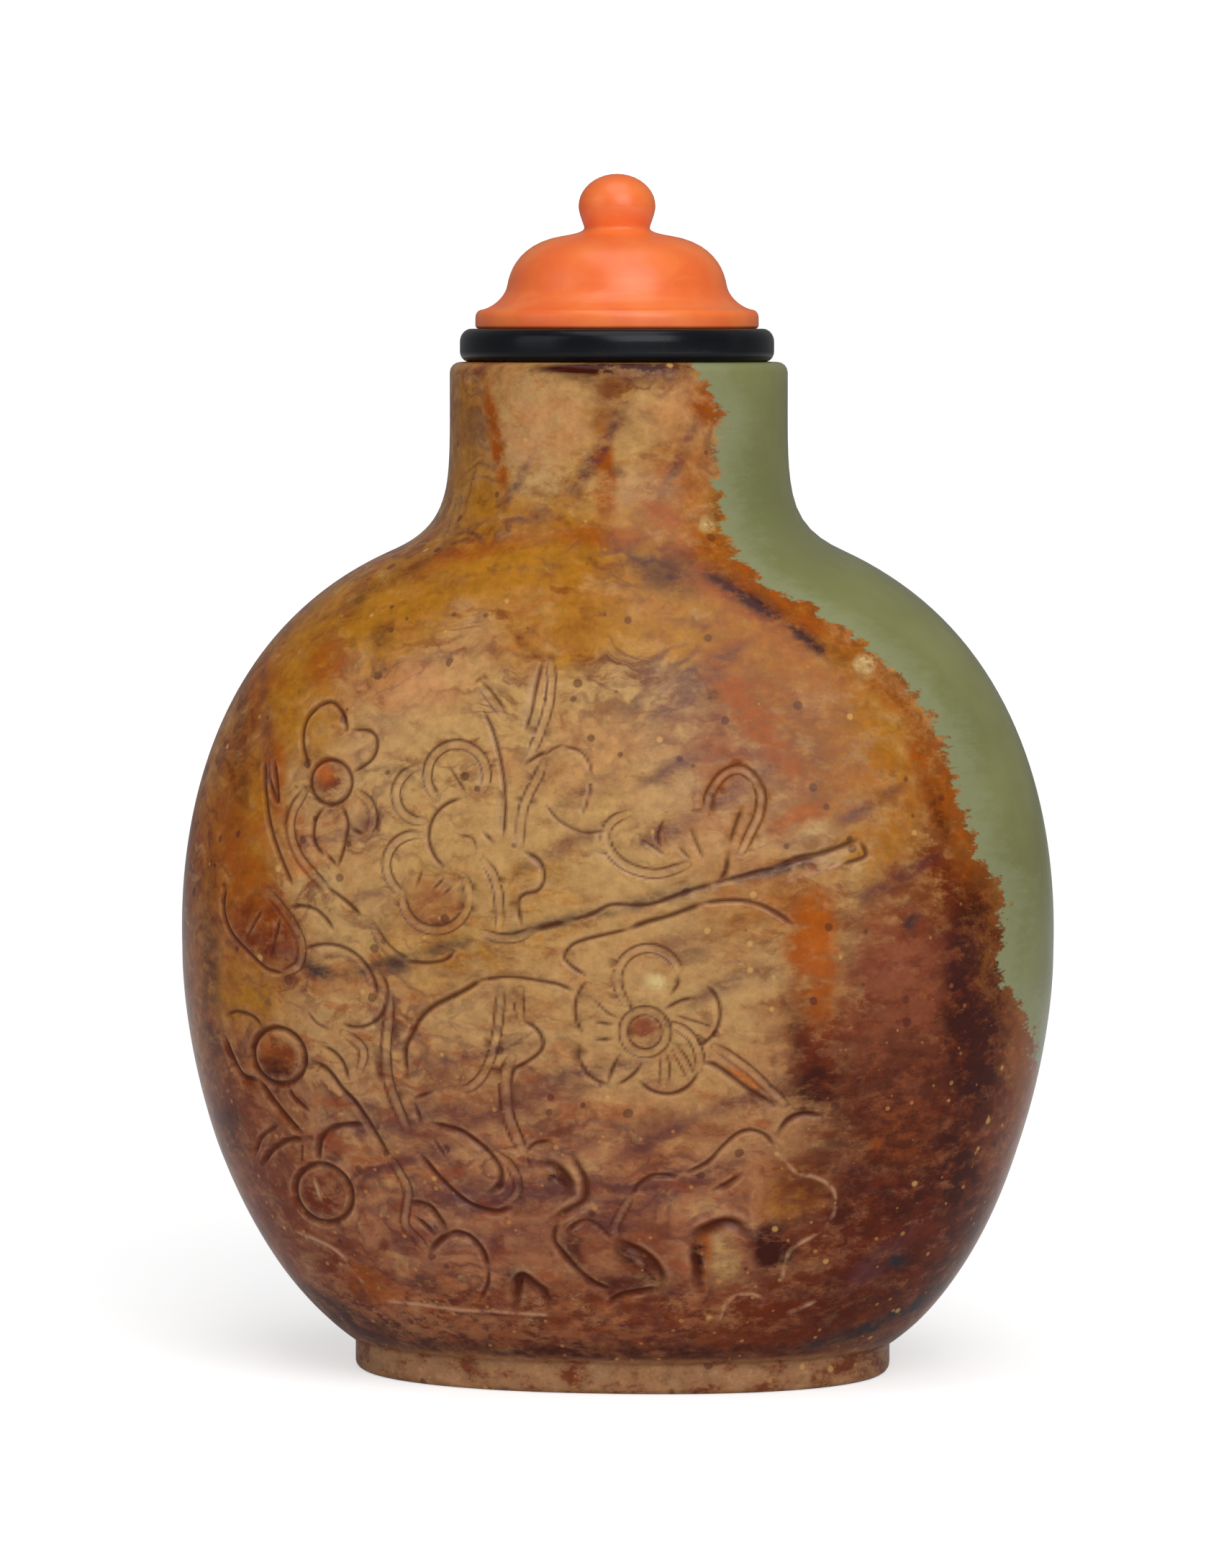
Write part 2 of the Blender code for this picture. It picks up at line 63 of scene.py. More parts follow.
# Body
BODY_WIDTH = 0.0493
BODY_DEPTH = BOTTLE_HIGH.y - BOTTLE_LOW.y
LIP_HEIGHT = BOTTLE_HIGH.z
BELLY_HEIGHT = 0.0239
SHOULDER_WIDTH = 0.0255
SHOULDER_HEIGHT = 0.0464
SIDE_SHOULDER_DEPTH = 0.0200
SIDE_SHOULDER_HEIGHT = 0.0488
NECK_DIAMETER = 0.0190
NECK_STRAIGHT = 0.0022
LIP_ROUND = 0.0006
BODY_SQUARENESS = 2.25
SQUARE_BELOW = 0.0400

# Foot ring
FOOT_WIDTH = 0.0304
FOOT_DEPTH = 0.0186
FOOT_HEIGHT = 0.0018
FOOT_STEP = 0.00025
FOOT_ROUND = 0.0004
FOOT_RIM = 0.0022
FOOT_RECESS = 0.0012

# How far the hand-cut body leans to the right of its axis: (height, shift)
LEAN = (
    (0.0, 0.00030), (0.0030, 0.00030), (0.0055, 0.00020), (0.0080, 0.00014), (0.0130, 0.0),
    (0.0450, 0.0), (0.0500, 0.00010), (0.0570, 0.00010),
)

# Hollow
WALL = 0.0030
FLOOR = 0.0034
BORE_DIAMETER = CORK_HIGH.x - CORK_LOW.x + 0.0002
BORE_BOTTOM_HEIGHT = 0.0462

# The hollow keeps its wall from the outline at a place this share of the wall lower
HOLLOW_DROP = 0.4

# Handles of the outline's three curves, as shares of the way across and up between each curve's ends
FRONT_HANDLES = (
    ((0.701, 0.208), (1.0, 0.714)),
    ((0.0, 0.068), (-0.077, 0.746)),
    ((1.0, 0.170), (1.0, 0.390)),
)
SIDE_HANDLES = (
    ((0.400, 0.085), (1.0, 0.550)),
    ((0.0, 0.440), (0.745, 0.786)),
    ((0.740, 0.270), (1.0, 0.450)),
)

# Collar: how far its rounded edges reach inward and along its height, and their steps
COLLAR_FOOT_EDGE = (0.00050, 0.00060, 8)
COLLAR_TOP_EDGE = (0.00065, 0.00075, 10)

# Cap: its rim, then the (radius, height) ends and the handles of the curves from the rim to the knob's top
CAP_RIM_HEIGHT = 0.00107
CAP_RIM_STRAIGHT = 0.00062
CAP_RIM_FOOT_EDGE = 0.00018
CAP_RIM_TOP_EDGE = 0.00040
CAP_RIM_FOOT_STEPS = 5
CAP_RIM_TOP_STEPS = 6
CAP_CURVE_STEPS = 10
CAP_ENDS = ((0.00616, 0.00245), (0.00298, 0.00520), (0.00184, 0.00565), (0.00216, 0.00685))
CAP_HANDLES = (
    ((0.42, 0.10), (0.92, 0.50)),
    ((0.05, 0.33), (0.24, 0.87)),
    ((0.68, 0.27), (1.0, 0.55)),
    ((0.25, 0.25), (1.0, 0.67)),
    ((0.0, 0.54), (0.44, 1.0)),
)

# Cork: how much narrower its tip is on each side, and the roundness of the tip's edge
CORK_TAPER = 0.0006
CORK_ROUND = 0.0005

# How many steps the collar and the cap, and the cork, take round their axis
TURNED_STEPS = 128
CORK_STEPS = 64

# Mesh of the bottle: columns round it, rows up its skin, and how cells near a stroke are divided
COLUMNS = 164
SKIN_ROWS = 82
FINE = 8
NEAR_STROKE = 0.08
STROKE_CELLS = 3
FOOT_ROWS = 4
HOLLOW_ROWS = 12

# Points of an arc: at least this many, and otherwise one for so many degrees
ARC_POINTS = 12
ARC_TURN = 8

# A stroke's tip: its share of the depth and of the width, and over how many widths a whole depth is gained
TIP_DEPTH = 0.35
TIP_WIDTH = 0.6
TIP_LENGTH = 1.6

# How dark a stroke is stained and painted with shade: at no depth, and what each millimetre of depth adds
FAINT_STAIN_AND_SHADE = 0.72
STAIN_AND_SHADE_BY_DEPTH = 1.6

# The carving's strokes: a form, which is "cut" for a single cut, "twin" for a flat band between two cuts or
# "ridge" for a raised edge, pale with cream and a painted highlight, then the width and the depth in
# millimetres
CUT = ("cut", 0.36, 0.16)
FAINT = ("cut", 0.28, 0.07)
BOLD = ("cut", 0.48, 0.24)
DEEP = ("cut", 0.95, 0.42)
TWIN = ("twin", 0.62, 0.14)
FLAT_TWIN = ("twin", 0.70, 0.16)
DEEP_TWIN = ("twin", 0.80, 0.26)
NARROW_HOLLOW = ("cut", 0.70, 0.30)
HOLLOW = ("cut", 0.75, 0.34)
WIDE_HOLLOW = ("cut", 0.80, 0.34)
RIDGE = ("ridge", 0.36, 0.12)

# Where the strokes run, in per cent of the body's width across and of the lip's height up.
# A ring is (across, up, radius, stroke), an arc is (across, up, radius, start, end, stroke) with its turns
# in degrees, and a line is (stroke, place, place, ...).
RINGS = (
    (5.8, 36.8, 2.05, TWIN),
    (-29.8, 59.9, 2.1, CUT),
    (-36.0, 33.2, 2.8, BOLD),
    (-31.2, 19.7, 3.0, BOLD),
)
ARCS = (
    # blossom above the bough
    (-15.3, 60.9, 2.9, 229, -32, TWIN),
    (-19.3, 59.0, 2.5, 103, 279, TWIN),
    (-19.8, 52.3, 2.9, 80, 247, TWIN),
    (-17.5, 49.5, 3.3, 175, 396, TWIN),
    (-14.3, 55.2, 3.5, 97, 237, CUT),
    # open blossom below the bough
    (6.2, 41.8, 3.0, 229, 19, TWIN),
    (10.1, 38.6, 3.4, 52, -64, CUT),
    (7.7, 34.1, 3.5, 79, -15, TWIN),
    (8.1, 33.9, 3.1, -18, -143, CUT),
    (2.1, 34.8, 3.1, 162, 263, CUT),
    (0.8, 35.9, 4.5, -69, -36, CUT),
    (2.5, 38.9, 3.8, 136, 216, CUT),
    # petals at the left edge
    (-29.8, 39.6, 4.9, 120, -2, CUT),
    (-26.7, 39.9, 3.3, 37, -113, CUT),
)
LINES = (
    # twigs above the bough
    (TWIN, (-13.0, 69.5), (-11.6, 68.1), (-10.1, 66.4)),
    (CUT, (-12.4, 66.9), (-11.4, 65.2), (-10.6, 63.0), (-10.0, 60.5), (-9.8, 58.2), (-9.9, 55.3)),
    (CUT, (-6.1, 71.5), (-6.7, 69.0), (-7.1, 67.0), (-7.7, 65.2)),
    (TWIN, (-5.1, 71.7), (-5.0, 69.0), (-5.5, 66.6), (-6.3, 64.6), (-7.1, 62.9)),
    (CUT, (-7.7, 62.0), (-6.2, 62.9), (-5.0, 63.2)),
    (FAINT, (-5.4, 62.9), (-4.6, 63.5), (-3.4, 63.9)),
    (TWIN, (-5.6, 62.3), (-6.1, 61.1), (-7.2, 59.2), (-7.9, 57.4), (-8.1, 54.4)),
    (CUT, (-7.5, 53.8), (-5.9, 53.0), (-5.3, 51.5), (-6.0, 50.2), (-7.5, 49.8), (-8.2, 49.0), (-7.8, 46.9)),
    (TWIN, (-12.1, 52.9), (-11.0, 51.5), (-10.4, 49.6), (-10.2, 46.4)),
    (FAINT, (-3.6, 63.8), (-1.3, 63.1), (-0.3, 61.3), (-0.6, 58.9), (-1.2, 57.4)),
    (FAINT, (-5.2, 58.2), (-3.8, 56.8), (-1.1, 55.7), (1.4, 55.9)),
    # stamens of the blossom above the bough
    (FAINT, (-19.6, 50.3), (-19.0, 51.9)),
    (FAINT, (-17.8, 50.0), (-16.5, 51.2)),
    (FAINT, (-16.6, 49.6), (-15.6, 50.4)),
    (FAINT, (-16.1, 61.6), (-14.2, 59.3)),
    (FAINT, (-14.9, 55.3), (-13.4, 55.0), (-12.9, 54.0)),
    (CUT, (-12.2, 55.6), (-11.0, 54.6)),
    (CUT, (-17.3, 59.0), (-18.2, 60.2)),
    # bud on the bough
    (TWIN, (12.4, 57.6), (12.8, 59.4), (14.2, 61.1), (16.1, 61.6), (17.9, 60.4)),
    (TWIN, (17.5, 60.6), (18.3, 59.3), (18.1, 57.4), (17.4, 56.0), (16.2, 53.8)),
    (CUT, (16.2, 58.0), (15.7, 56.8), (14.9, 54.7)),
    (BOLD, (14.8, 53.8), (14.5, 52.0), (13.6, 50.9)),
    # cupped blossom on the bough and its stamens
    (TWIN, (3.9, 57.5), (2.3, 56.9), (1.4, 55.8), (1.6, 54.4), (2.9, 53.0), (5.0, 52.1), (7.5, 51.9),
      (10.4, 52.7)),
    (FAINT, (5.2, 55.1), (6.6, 54.4), (7.9, 53.6)),
    (CUT, (7.7, 56.9), (7.1, 55.6), (7.3, 54.3)),
    (FAINT, (9.4, 54.4), (10.7, 53.2)),
    (FAINT, (10.7, 56.0), (11.4, 54.6), (12.0, 53.4)),
    (FAINT, (10.8, 57.7), (12.0, 57.9)),
    # side blossom at the left edge
    (CUT, (-32.6, 61.2), (-33.4, 63.6), (-33.1, 65.6), (-31.6, 67.0), (-30.0, 67.4), (-28.6, 66.2),
      (-28.1, 64.7)),
    (CUT, (-27.6, 64.9), (-25.6, 64.9), (-24.6, 64.0), (-25.0, 62.3), (-27.2, 60.9)),
    (TWIN, (-26.6, 59.0), (-25.2, 58.0), (-24.8, 56.4), (-25.3, 55.0)),
    (CUT, (-25.6, 55.0), (-27.3, 55.6)),
    (CUT, (-30.6, 57.5), (-31.6, 56.2), (-31.6, 54.2), (-30.4, 52.9)),
    (CUT, (-28.4, 57.6), (-27.7, 56.0), (-28.1, 53.8), (-28.8, 51.9)),
    (CUT, (-28.8, 51.9), (-29.8, 52.8), (-30.2, 53.2)),
    (TWIN, (-32.8, 59.0), (-34.3, 57.0), (-34.5, 54.9), (-33.4, 52.7), (-31.6, 51.0), (-29.9, 49.7)),
    (CUT, (-30.2, 50.0), (-27.8, 48.7), (-25.9, 47.3)),
    (CUT, (-38.0, 61.4), (-37.8, 58.8), (-37.0, 55.4), (-35.6, 52.4), (-34.2, 50.0)),
    (CUT, (-37.6, 60.2), (-36.2, 57.8), (-36.8, 61.6)),
    (RIDGE, (-31.8, 66.8), (-30.8, 66.9)),
    # leaf below it, with its veins
    (TWIN, (-37.3, 49.2), (-35.2, 47.4), (-33.5, 45.4), (-33.0, 43.7), (-33.5, 42.2), (-35.2, 41.4)),
    (CUT, (-35.2, 41.4), (-37.3, 41.7), (-39.4, 43.0), (-41.8, 44.8), (-42.9, 47.0), (-42.6, 49.2)),
    (FAINT, (-39.6, 44.8), (-38.8, 46.0), (-37.9, 47.2)),
    (FAINT, (-36.8, 42.8), (-36.2, 44.6), (-35.6, 46.6)),
    (CUT, (-34.6, 47.7), (-33.2, 48.0), (-31.5, 47.8), (-30.2, 47.0), (-29.2, 45.9)),
    # twigs and bracts below the leaf
    (TWIN, (-24.6, 46.4), (-23.7, 45.0), (-22.3, 43.8), (-20.7, 43.2)),
    (CUT, (-20.7, 43.2), (-18.6, 43.1), (-16.4, 43.4), (-15.3, 44.3)),
    (FAINT, (-32.2, 37.8), (-31.3, 36.8), (-29.8, 36.3)),
    (TWIN, (-28.1, 36.0), (-26.4, 35.0), (-25.8, 34.0), (-26.3, 32.3)),
    (CUT, (-30.6, 34.6), (-29.2, 34.0), (-28.2, 33.0), (-27.6, 31.4)),
    (BOLD, (-43.0, 34.6), (-42.2, 32.8), (-40.7, 30.8), (-38.6, 30.6)),
    (BOLD, (-38.6, 30.6), (-36.8, 28.6), (-34.7, 26.6), (-33.4, 25.6)),
    (CUT, (-42.6, 36.6), (-41.2, 37.2), (-39.2, 36.9), (-38.0, 36.0)),
    (CUT, (-35.0, 30.4), (-34.2, 29.2), (-32.4, 28.0)),
    (BOLD, (-38.7, 22.0), (-37.2, 23.8), (-35.0, 24.9), (-33.0, 25.1)),
    (CUT, (-39.6, 22.8), (-38.6, 24.8), (-36.2, 26.4)),
    (FAINT, (-33.4, 24.8), (-33.6, 22.6)),
    (BOLD, (-31.6, 22.9), (-31.3, 25.0), (-30.3, 26.2), (-28.6, 26.8), (-26.0, 27.1)),
    (RIDGE, (-32.2, 21.4), (-31.4, 19.0)),
    # the bough: upper edge, lower edge, sawn end and left part
    (TWIN, (-12.2, 46.1), (-10.3, 45.6), (-8.3, 45.7), (-6.6, 46.4)),
    (BOLD, (-6.6, 46.4), (-4.6, 46.9), (-2.6, 47.3)),
    (CUT, (-2.6, 47.3), (-0.1, 48.0), (2.1, 48.9), (6.0, 48.9), (10.1, 50.1), (13.0, 50.9)),
    (CUT, (13.0, 50.9), (16.2, 51.6), (20.0, 52.4)),
    (BOLD, (20.0, 52.4), (22.2, 53.2), (25.0, 53.7), (27.4, 54.4), (29.0, 54.9)),
    (CUT, (-0.7, 42.2), (-2.2, 43.0), (-3.0, 43.9), (-2.3, 45.0), (-0.7, 45.6), (1.6, 46.1), (4.0, 46.6)),
    (BOLD, (4.0, 46.6), (6.0, 47.3), (8.1, 47.8), (10.1, 48.4), (12.1, 49.1)),
    (CUT, (12.1, 49.1), (14.3, 49.3), (16.3, 49.3), (18.3, 48.9), (20.3, 48.0), (21.8, 47.0)),
    (CUT, (29.1, 54.7), (29.6, 53.9), (29.5, 53.2), (27.2, 52.6)),
    (RIDGE, (27.2, 52.6), (24.3, 51.8), (21.5, 51.0)),
    (CUT, (-2.1, 40.7), (-3.8, 41.3), (-5.8, 41.6), (-8.3, 41.9), (-10.0, 41.9), (-12.2, 41.6)),
    (BOLD, (-12.2, 41.6), (-14.7, 40.3), (-17.6, 39.0), (-19.3, 37.6), (-20.3, 36.0), (-21.0, 34.6),
      (-20.8, 32.2)),
    # stems under the bough
    (TWIN, (-10.1, 40.7), (-10.3, 38.6), (-10.6, 36.4), (-11.3, 34.1), (-12.3, 32.3), (-13.6, 31.2),
      (-14.6, 31.0)),
    (TWIN, (-7.9, 40.8), (-8.1, 39.2), (-7.7, 37.6)),
    (CUT, (-7.6, 37.7), (-6.2, 37.0), (-5.4, 35.7), (-6.0, 34.6), (-7.4, 33.7), (-8.7, 33.0), (-9.1, 31.8)),
    (DEEP_TWIN, (-8.9, 34.2), (-9.6, 32.8), (-9.7, 30.5), (-9.5, 28.6), (-8.8, 26.8), (-7.8, 25.0)),
    (CUT, (-7.5, 24.9), (-6.5, 25.8), (-4.6, 26.1)),
    (FAINT, (-7.4, 24.6), (-7.1, 23.4)),
    (FLAT_TWIN, (-22.7, 40.0), (-22.9, 37.4), (-23.2, 34.7), (-23.1, 32.0), (-22.2, 29.4), (-20.9, 26.7)),
    (BOLD, (-31.9, 33.0), (-30.1, 32.2), (-28.6, 30.6), (-26.9, 29.1), (-25.0, 26.7), (-23.3, 24.2)),
    (TWIN, (-23.3, 24.2), (-22.0, 22.4), (-21.1, 20.6), (-21.4, 18.8), (-21.6, 17.1), (-20.3, 15.8),
      (-19.1, 14.5)),
    # folded leaf
    (BOLD, (-18.2, 27.5), (-15.1, 26.9), (-13.2, 25.9), (-11.4, 24.5), (-10.4, 23.0), (-10.6, 21.6),
      (-11.7, 20.9)),
    (TWIN, (-11.0, 24.7), (-9.3, 23.5), (-8.5, 21.6), (-9.0, 20.4), (-9.9, 19.9)),
    (BOLD, (-19.4, 24.2), (-17.3, 22.0), (-14.7, 19.9), (-12.6, 19.1), (-10.8, 18.9), (-9.4, 19.4)),
    (FAINT, (-18.0, 26.2), (-16.6, 24.2)),
    (CUT, (-20.0, 29.9), (-18.0, 30.6)),
    (CUT, (-20.0, 29.4), (-19.2, 27.4)),
    # open blossom: rays between its petals
    (CUT, (2.2, 37.5), (0.3, 37.7)),
    (CUT, (2.2, 36.1), (0.3, 36.0)),
    (FAINT, (2.8, 38.2), (1.6, 38.7), (0.4, 39.8)),
    (CUT, (3.0, 34.6), (2.2, 33.2), (1.7, 31.9)),
    (TWIN, (7.7, 34.8), (8.0, 33.3), (7.8, 31.6)),
    (TWIN, (9.0, 35.4), (10.2, 33.6), (10.9, 32.2)),
    (CUT, (8.6, 40.4), (9.4, 41.4), (9.4, 42.2)),
    (CUT, (8.0, 39.0), (9.7, 39.8), (11.2, 40.1)),
    (FAINT, (9.2, 38.4), (11.4, 37.8), (13.2, 37.3)),
    (CUT, (4.0, 39.8), (4.5, 38.6)),
    (CUT, (5.4, 33.8), (4.6, 32.8), (3.4, 32.0)),
    # its stem to the right
    (BOLD, (12.2, 33.8), (13.4, 33.6), (15.2, 32.5), (17.4, 31.0), (19.8, 29.7)),
    (TWIN, (13.4, 35.4), (15.0, 34.5), (17.4, 32.9), (19.4, 31.1), (21.4, 29.4)),
    # rocks, from left to right, and the ground under them
    (BOLD, (-21.0, 19.5), (-18.8, 19.2), (-17.4, 17.7), (-16.8, 16.7)),
    (CUT, (-20.4, 18.0), (-19.4, 17.4), (-18.2, 16.4)),
    (BOLD, (-19.0, 14.4), (-18.1, 15.3), (-16.9, 16.2), (-15.5, 16.6), (-14.0, 16.1), (-12.8, 14.8),
      (-12.2, 13.1)),
    (CUT, (-12.2, 13.1), (-12.4, 11.4), (-13.4, 9.7)),
    (HOLLOW, (-9.4, 8.9), (-9.0, 11.0), (-8.4, 12.3), (-7.0, 11.4), (-6.0, 10.7), (-5.6, 9.2)),
    (DEEP, (-5.7, 23.7), (-4.4, 23.5), (-3.2, 22.5), (-2.8, 21.4), (-3.0, 20.3)),
    (NARROW_HOLLOW, (-2.5, 24.8), (-1.6, 23.3), (-1.0, 21.8), (-1.1, 20.3), (-2.5, 19.4), (-4.8, 18.2)),
    (BOLD, (-4.2, 18.0), (-4.7, 16.3), (-3.9, 15.0), (-2.1, 13.1), (-0.4, 11.8), (1.5, 11.1)),
    (CUT, (-3.2, 17.2), (-1.4, 18.2), (0.3, 17.8), (1.8, 16.3)),
    (CUT, (9.2, 22.7), (6.6, 22.8), (4.9, 21.9), (4.0, 20.7)),
    (TWIN, (4.0, 20.7), (2.8, 18.8), (2.1, 17.5), (2.4, 16.2)),
    (HOLLOW, (2.4, 16.2), (3.6, 15.6), (5.1, 14.9), (6.4, 13.8), (7.2, 12.4), (7.0, 11.3)),
    (BOLD, (7.0, 11.3), (4.5, 11.0), (2.4, 10.5), (1.0, 9.6)),
    (CUT, (10.3, 23.1), (12.5, 24.1), (14.1, 25.6), (15.8, 26.9), (17.3, 27.2), (18.9, 26.7), (19.8, 25.6)),
    (BOLD, (20.2, 26.8), (21.4, 28.2), (23.2, 28.7), (25.0, 28.5)),
    (BOLD, (16.2, 22.9), (14.8, 22.0), (13.2, 21.3)),
    (RIDGE, (20.2, 24.9), (21.3, 23.7), (22.5, 22.8), (24.0, 22.5), (25.6, 21.7), (26.4, 20.5),
      (26.3, 19.0)),
    (RIDGE, (26.3, 19.0), (25.5, 17.6), (23.6, 16.4), (21.6, 15.3), (20.8, 14.0), (20.4, 11.9)),
    (DEEP, (10.5, 16.0), (11.4, 16.9), (13.0, 17.6), (14.6, 18.0), (16.0, 17.6), (16.7, 16.7)),
    (WIDE_HOLLOW, (10.6, 15.8), (11.0, 14.0), (11.2, 12.2), (11.4, 11.0)),
    (RIDGE, (13.3, 7.9), (14.1, 9.6), (15.3, 10.7)),
    (RIDGE, (15.3, 10.7), (17.1, 10.7), (18.4, 10.1)),
    (RIDGE, (20.2, 8.3), (24.0, 9.7)),
    (RIDGE, (-24.9, 9.0), (-20.1, 8.9), (-15.6, 8.6), (-11.3, 8.6), (-5.4, 8.4)),
    (RIDGE, (-35.0, 15.4), (-30.6, 14.2), (-28.0, 12.2), (-26.2, 9.4)),
)

# Softboxes: name, place, width, height and share of the key light's power
SOFTBOXES = (
    ("key_softbox", (0.20, -0.44, 0.34), 0.46, 0.46, 1.0),
    ("left_softbox", (-0.45, -0.30, 0.26), 0.34, 0.44, 0.22),
    ("top_softbox", (0.02, -0.12, 0.55), 0.40, 0.40, 0.45),
)

# Oval card that lies on the floor and throws light up at the bottle's right side
CARD = ("white_card", (0.27, -0.24, 0.001), 0.14, 0.66, 0.24)
CARD_TURN = -48

# Floor and camera
STUDIO_FLOOR_RADIUS = 60.0
STUDIO_FLOOR_STEPS = 96
SENSOR_HEIGHT = 36.0
NEAREST_SEEN = 0.01
CAMERA_SHIFT = (-0.0016, 0.0020)

# Where russet stone turns to green: (share of the lip's height, share of the half width) along the border
GREEN_BORDER = (
    (0.00, 1.00), (0.22, 1.00), (0.29, 0.97), (0.37, 0.94), (0.42, 0.88), (0.49, 0.89), (0.53, 0.83),
    (0.58, 0.80), (0.65, 0.74), (0.72, 0.61), (0.76, 0.49), (0.80, 0.33), (0.83, 0.275), (0.87, 0.248),
    (0.91, 0.245), (0.944, 0.262), (0.97, 0.237), (1.00, 0.195),
)
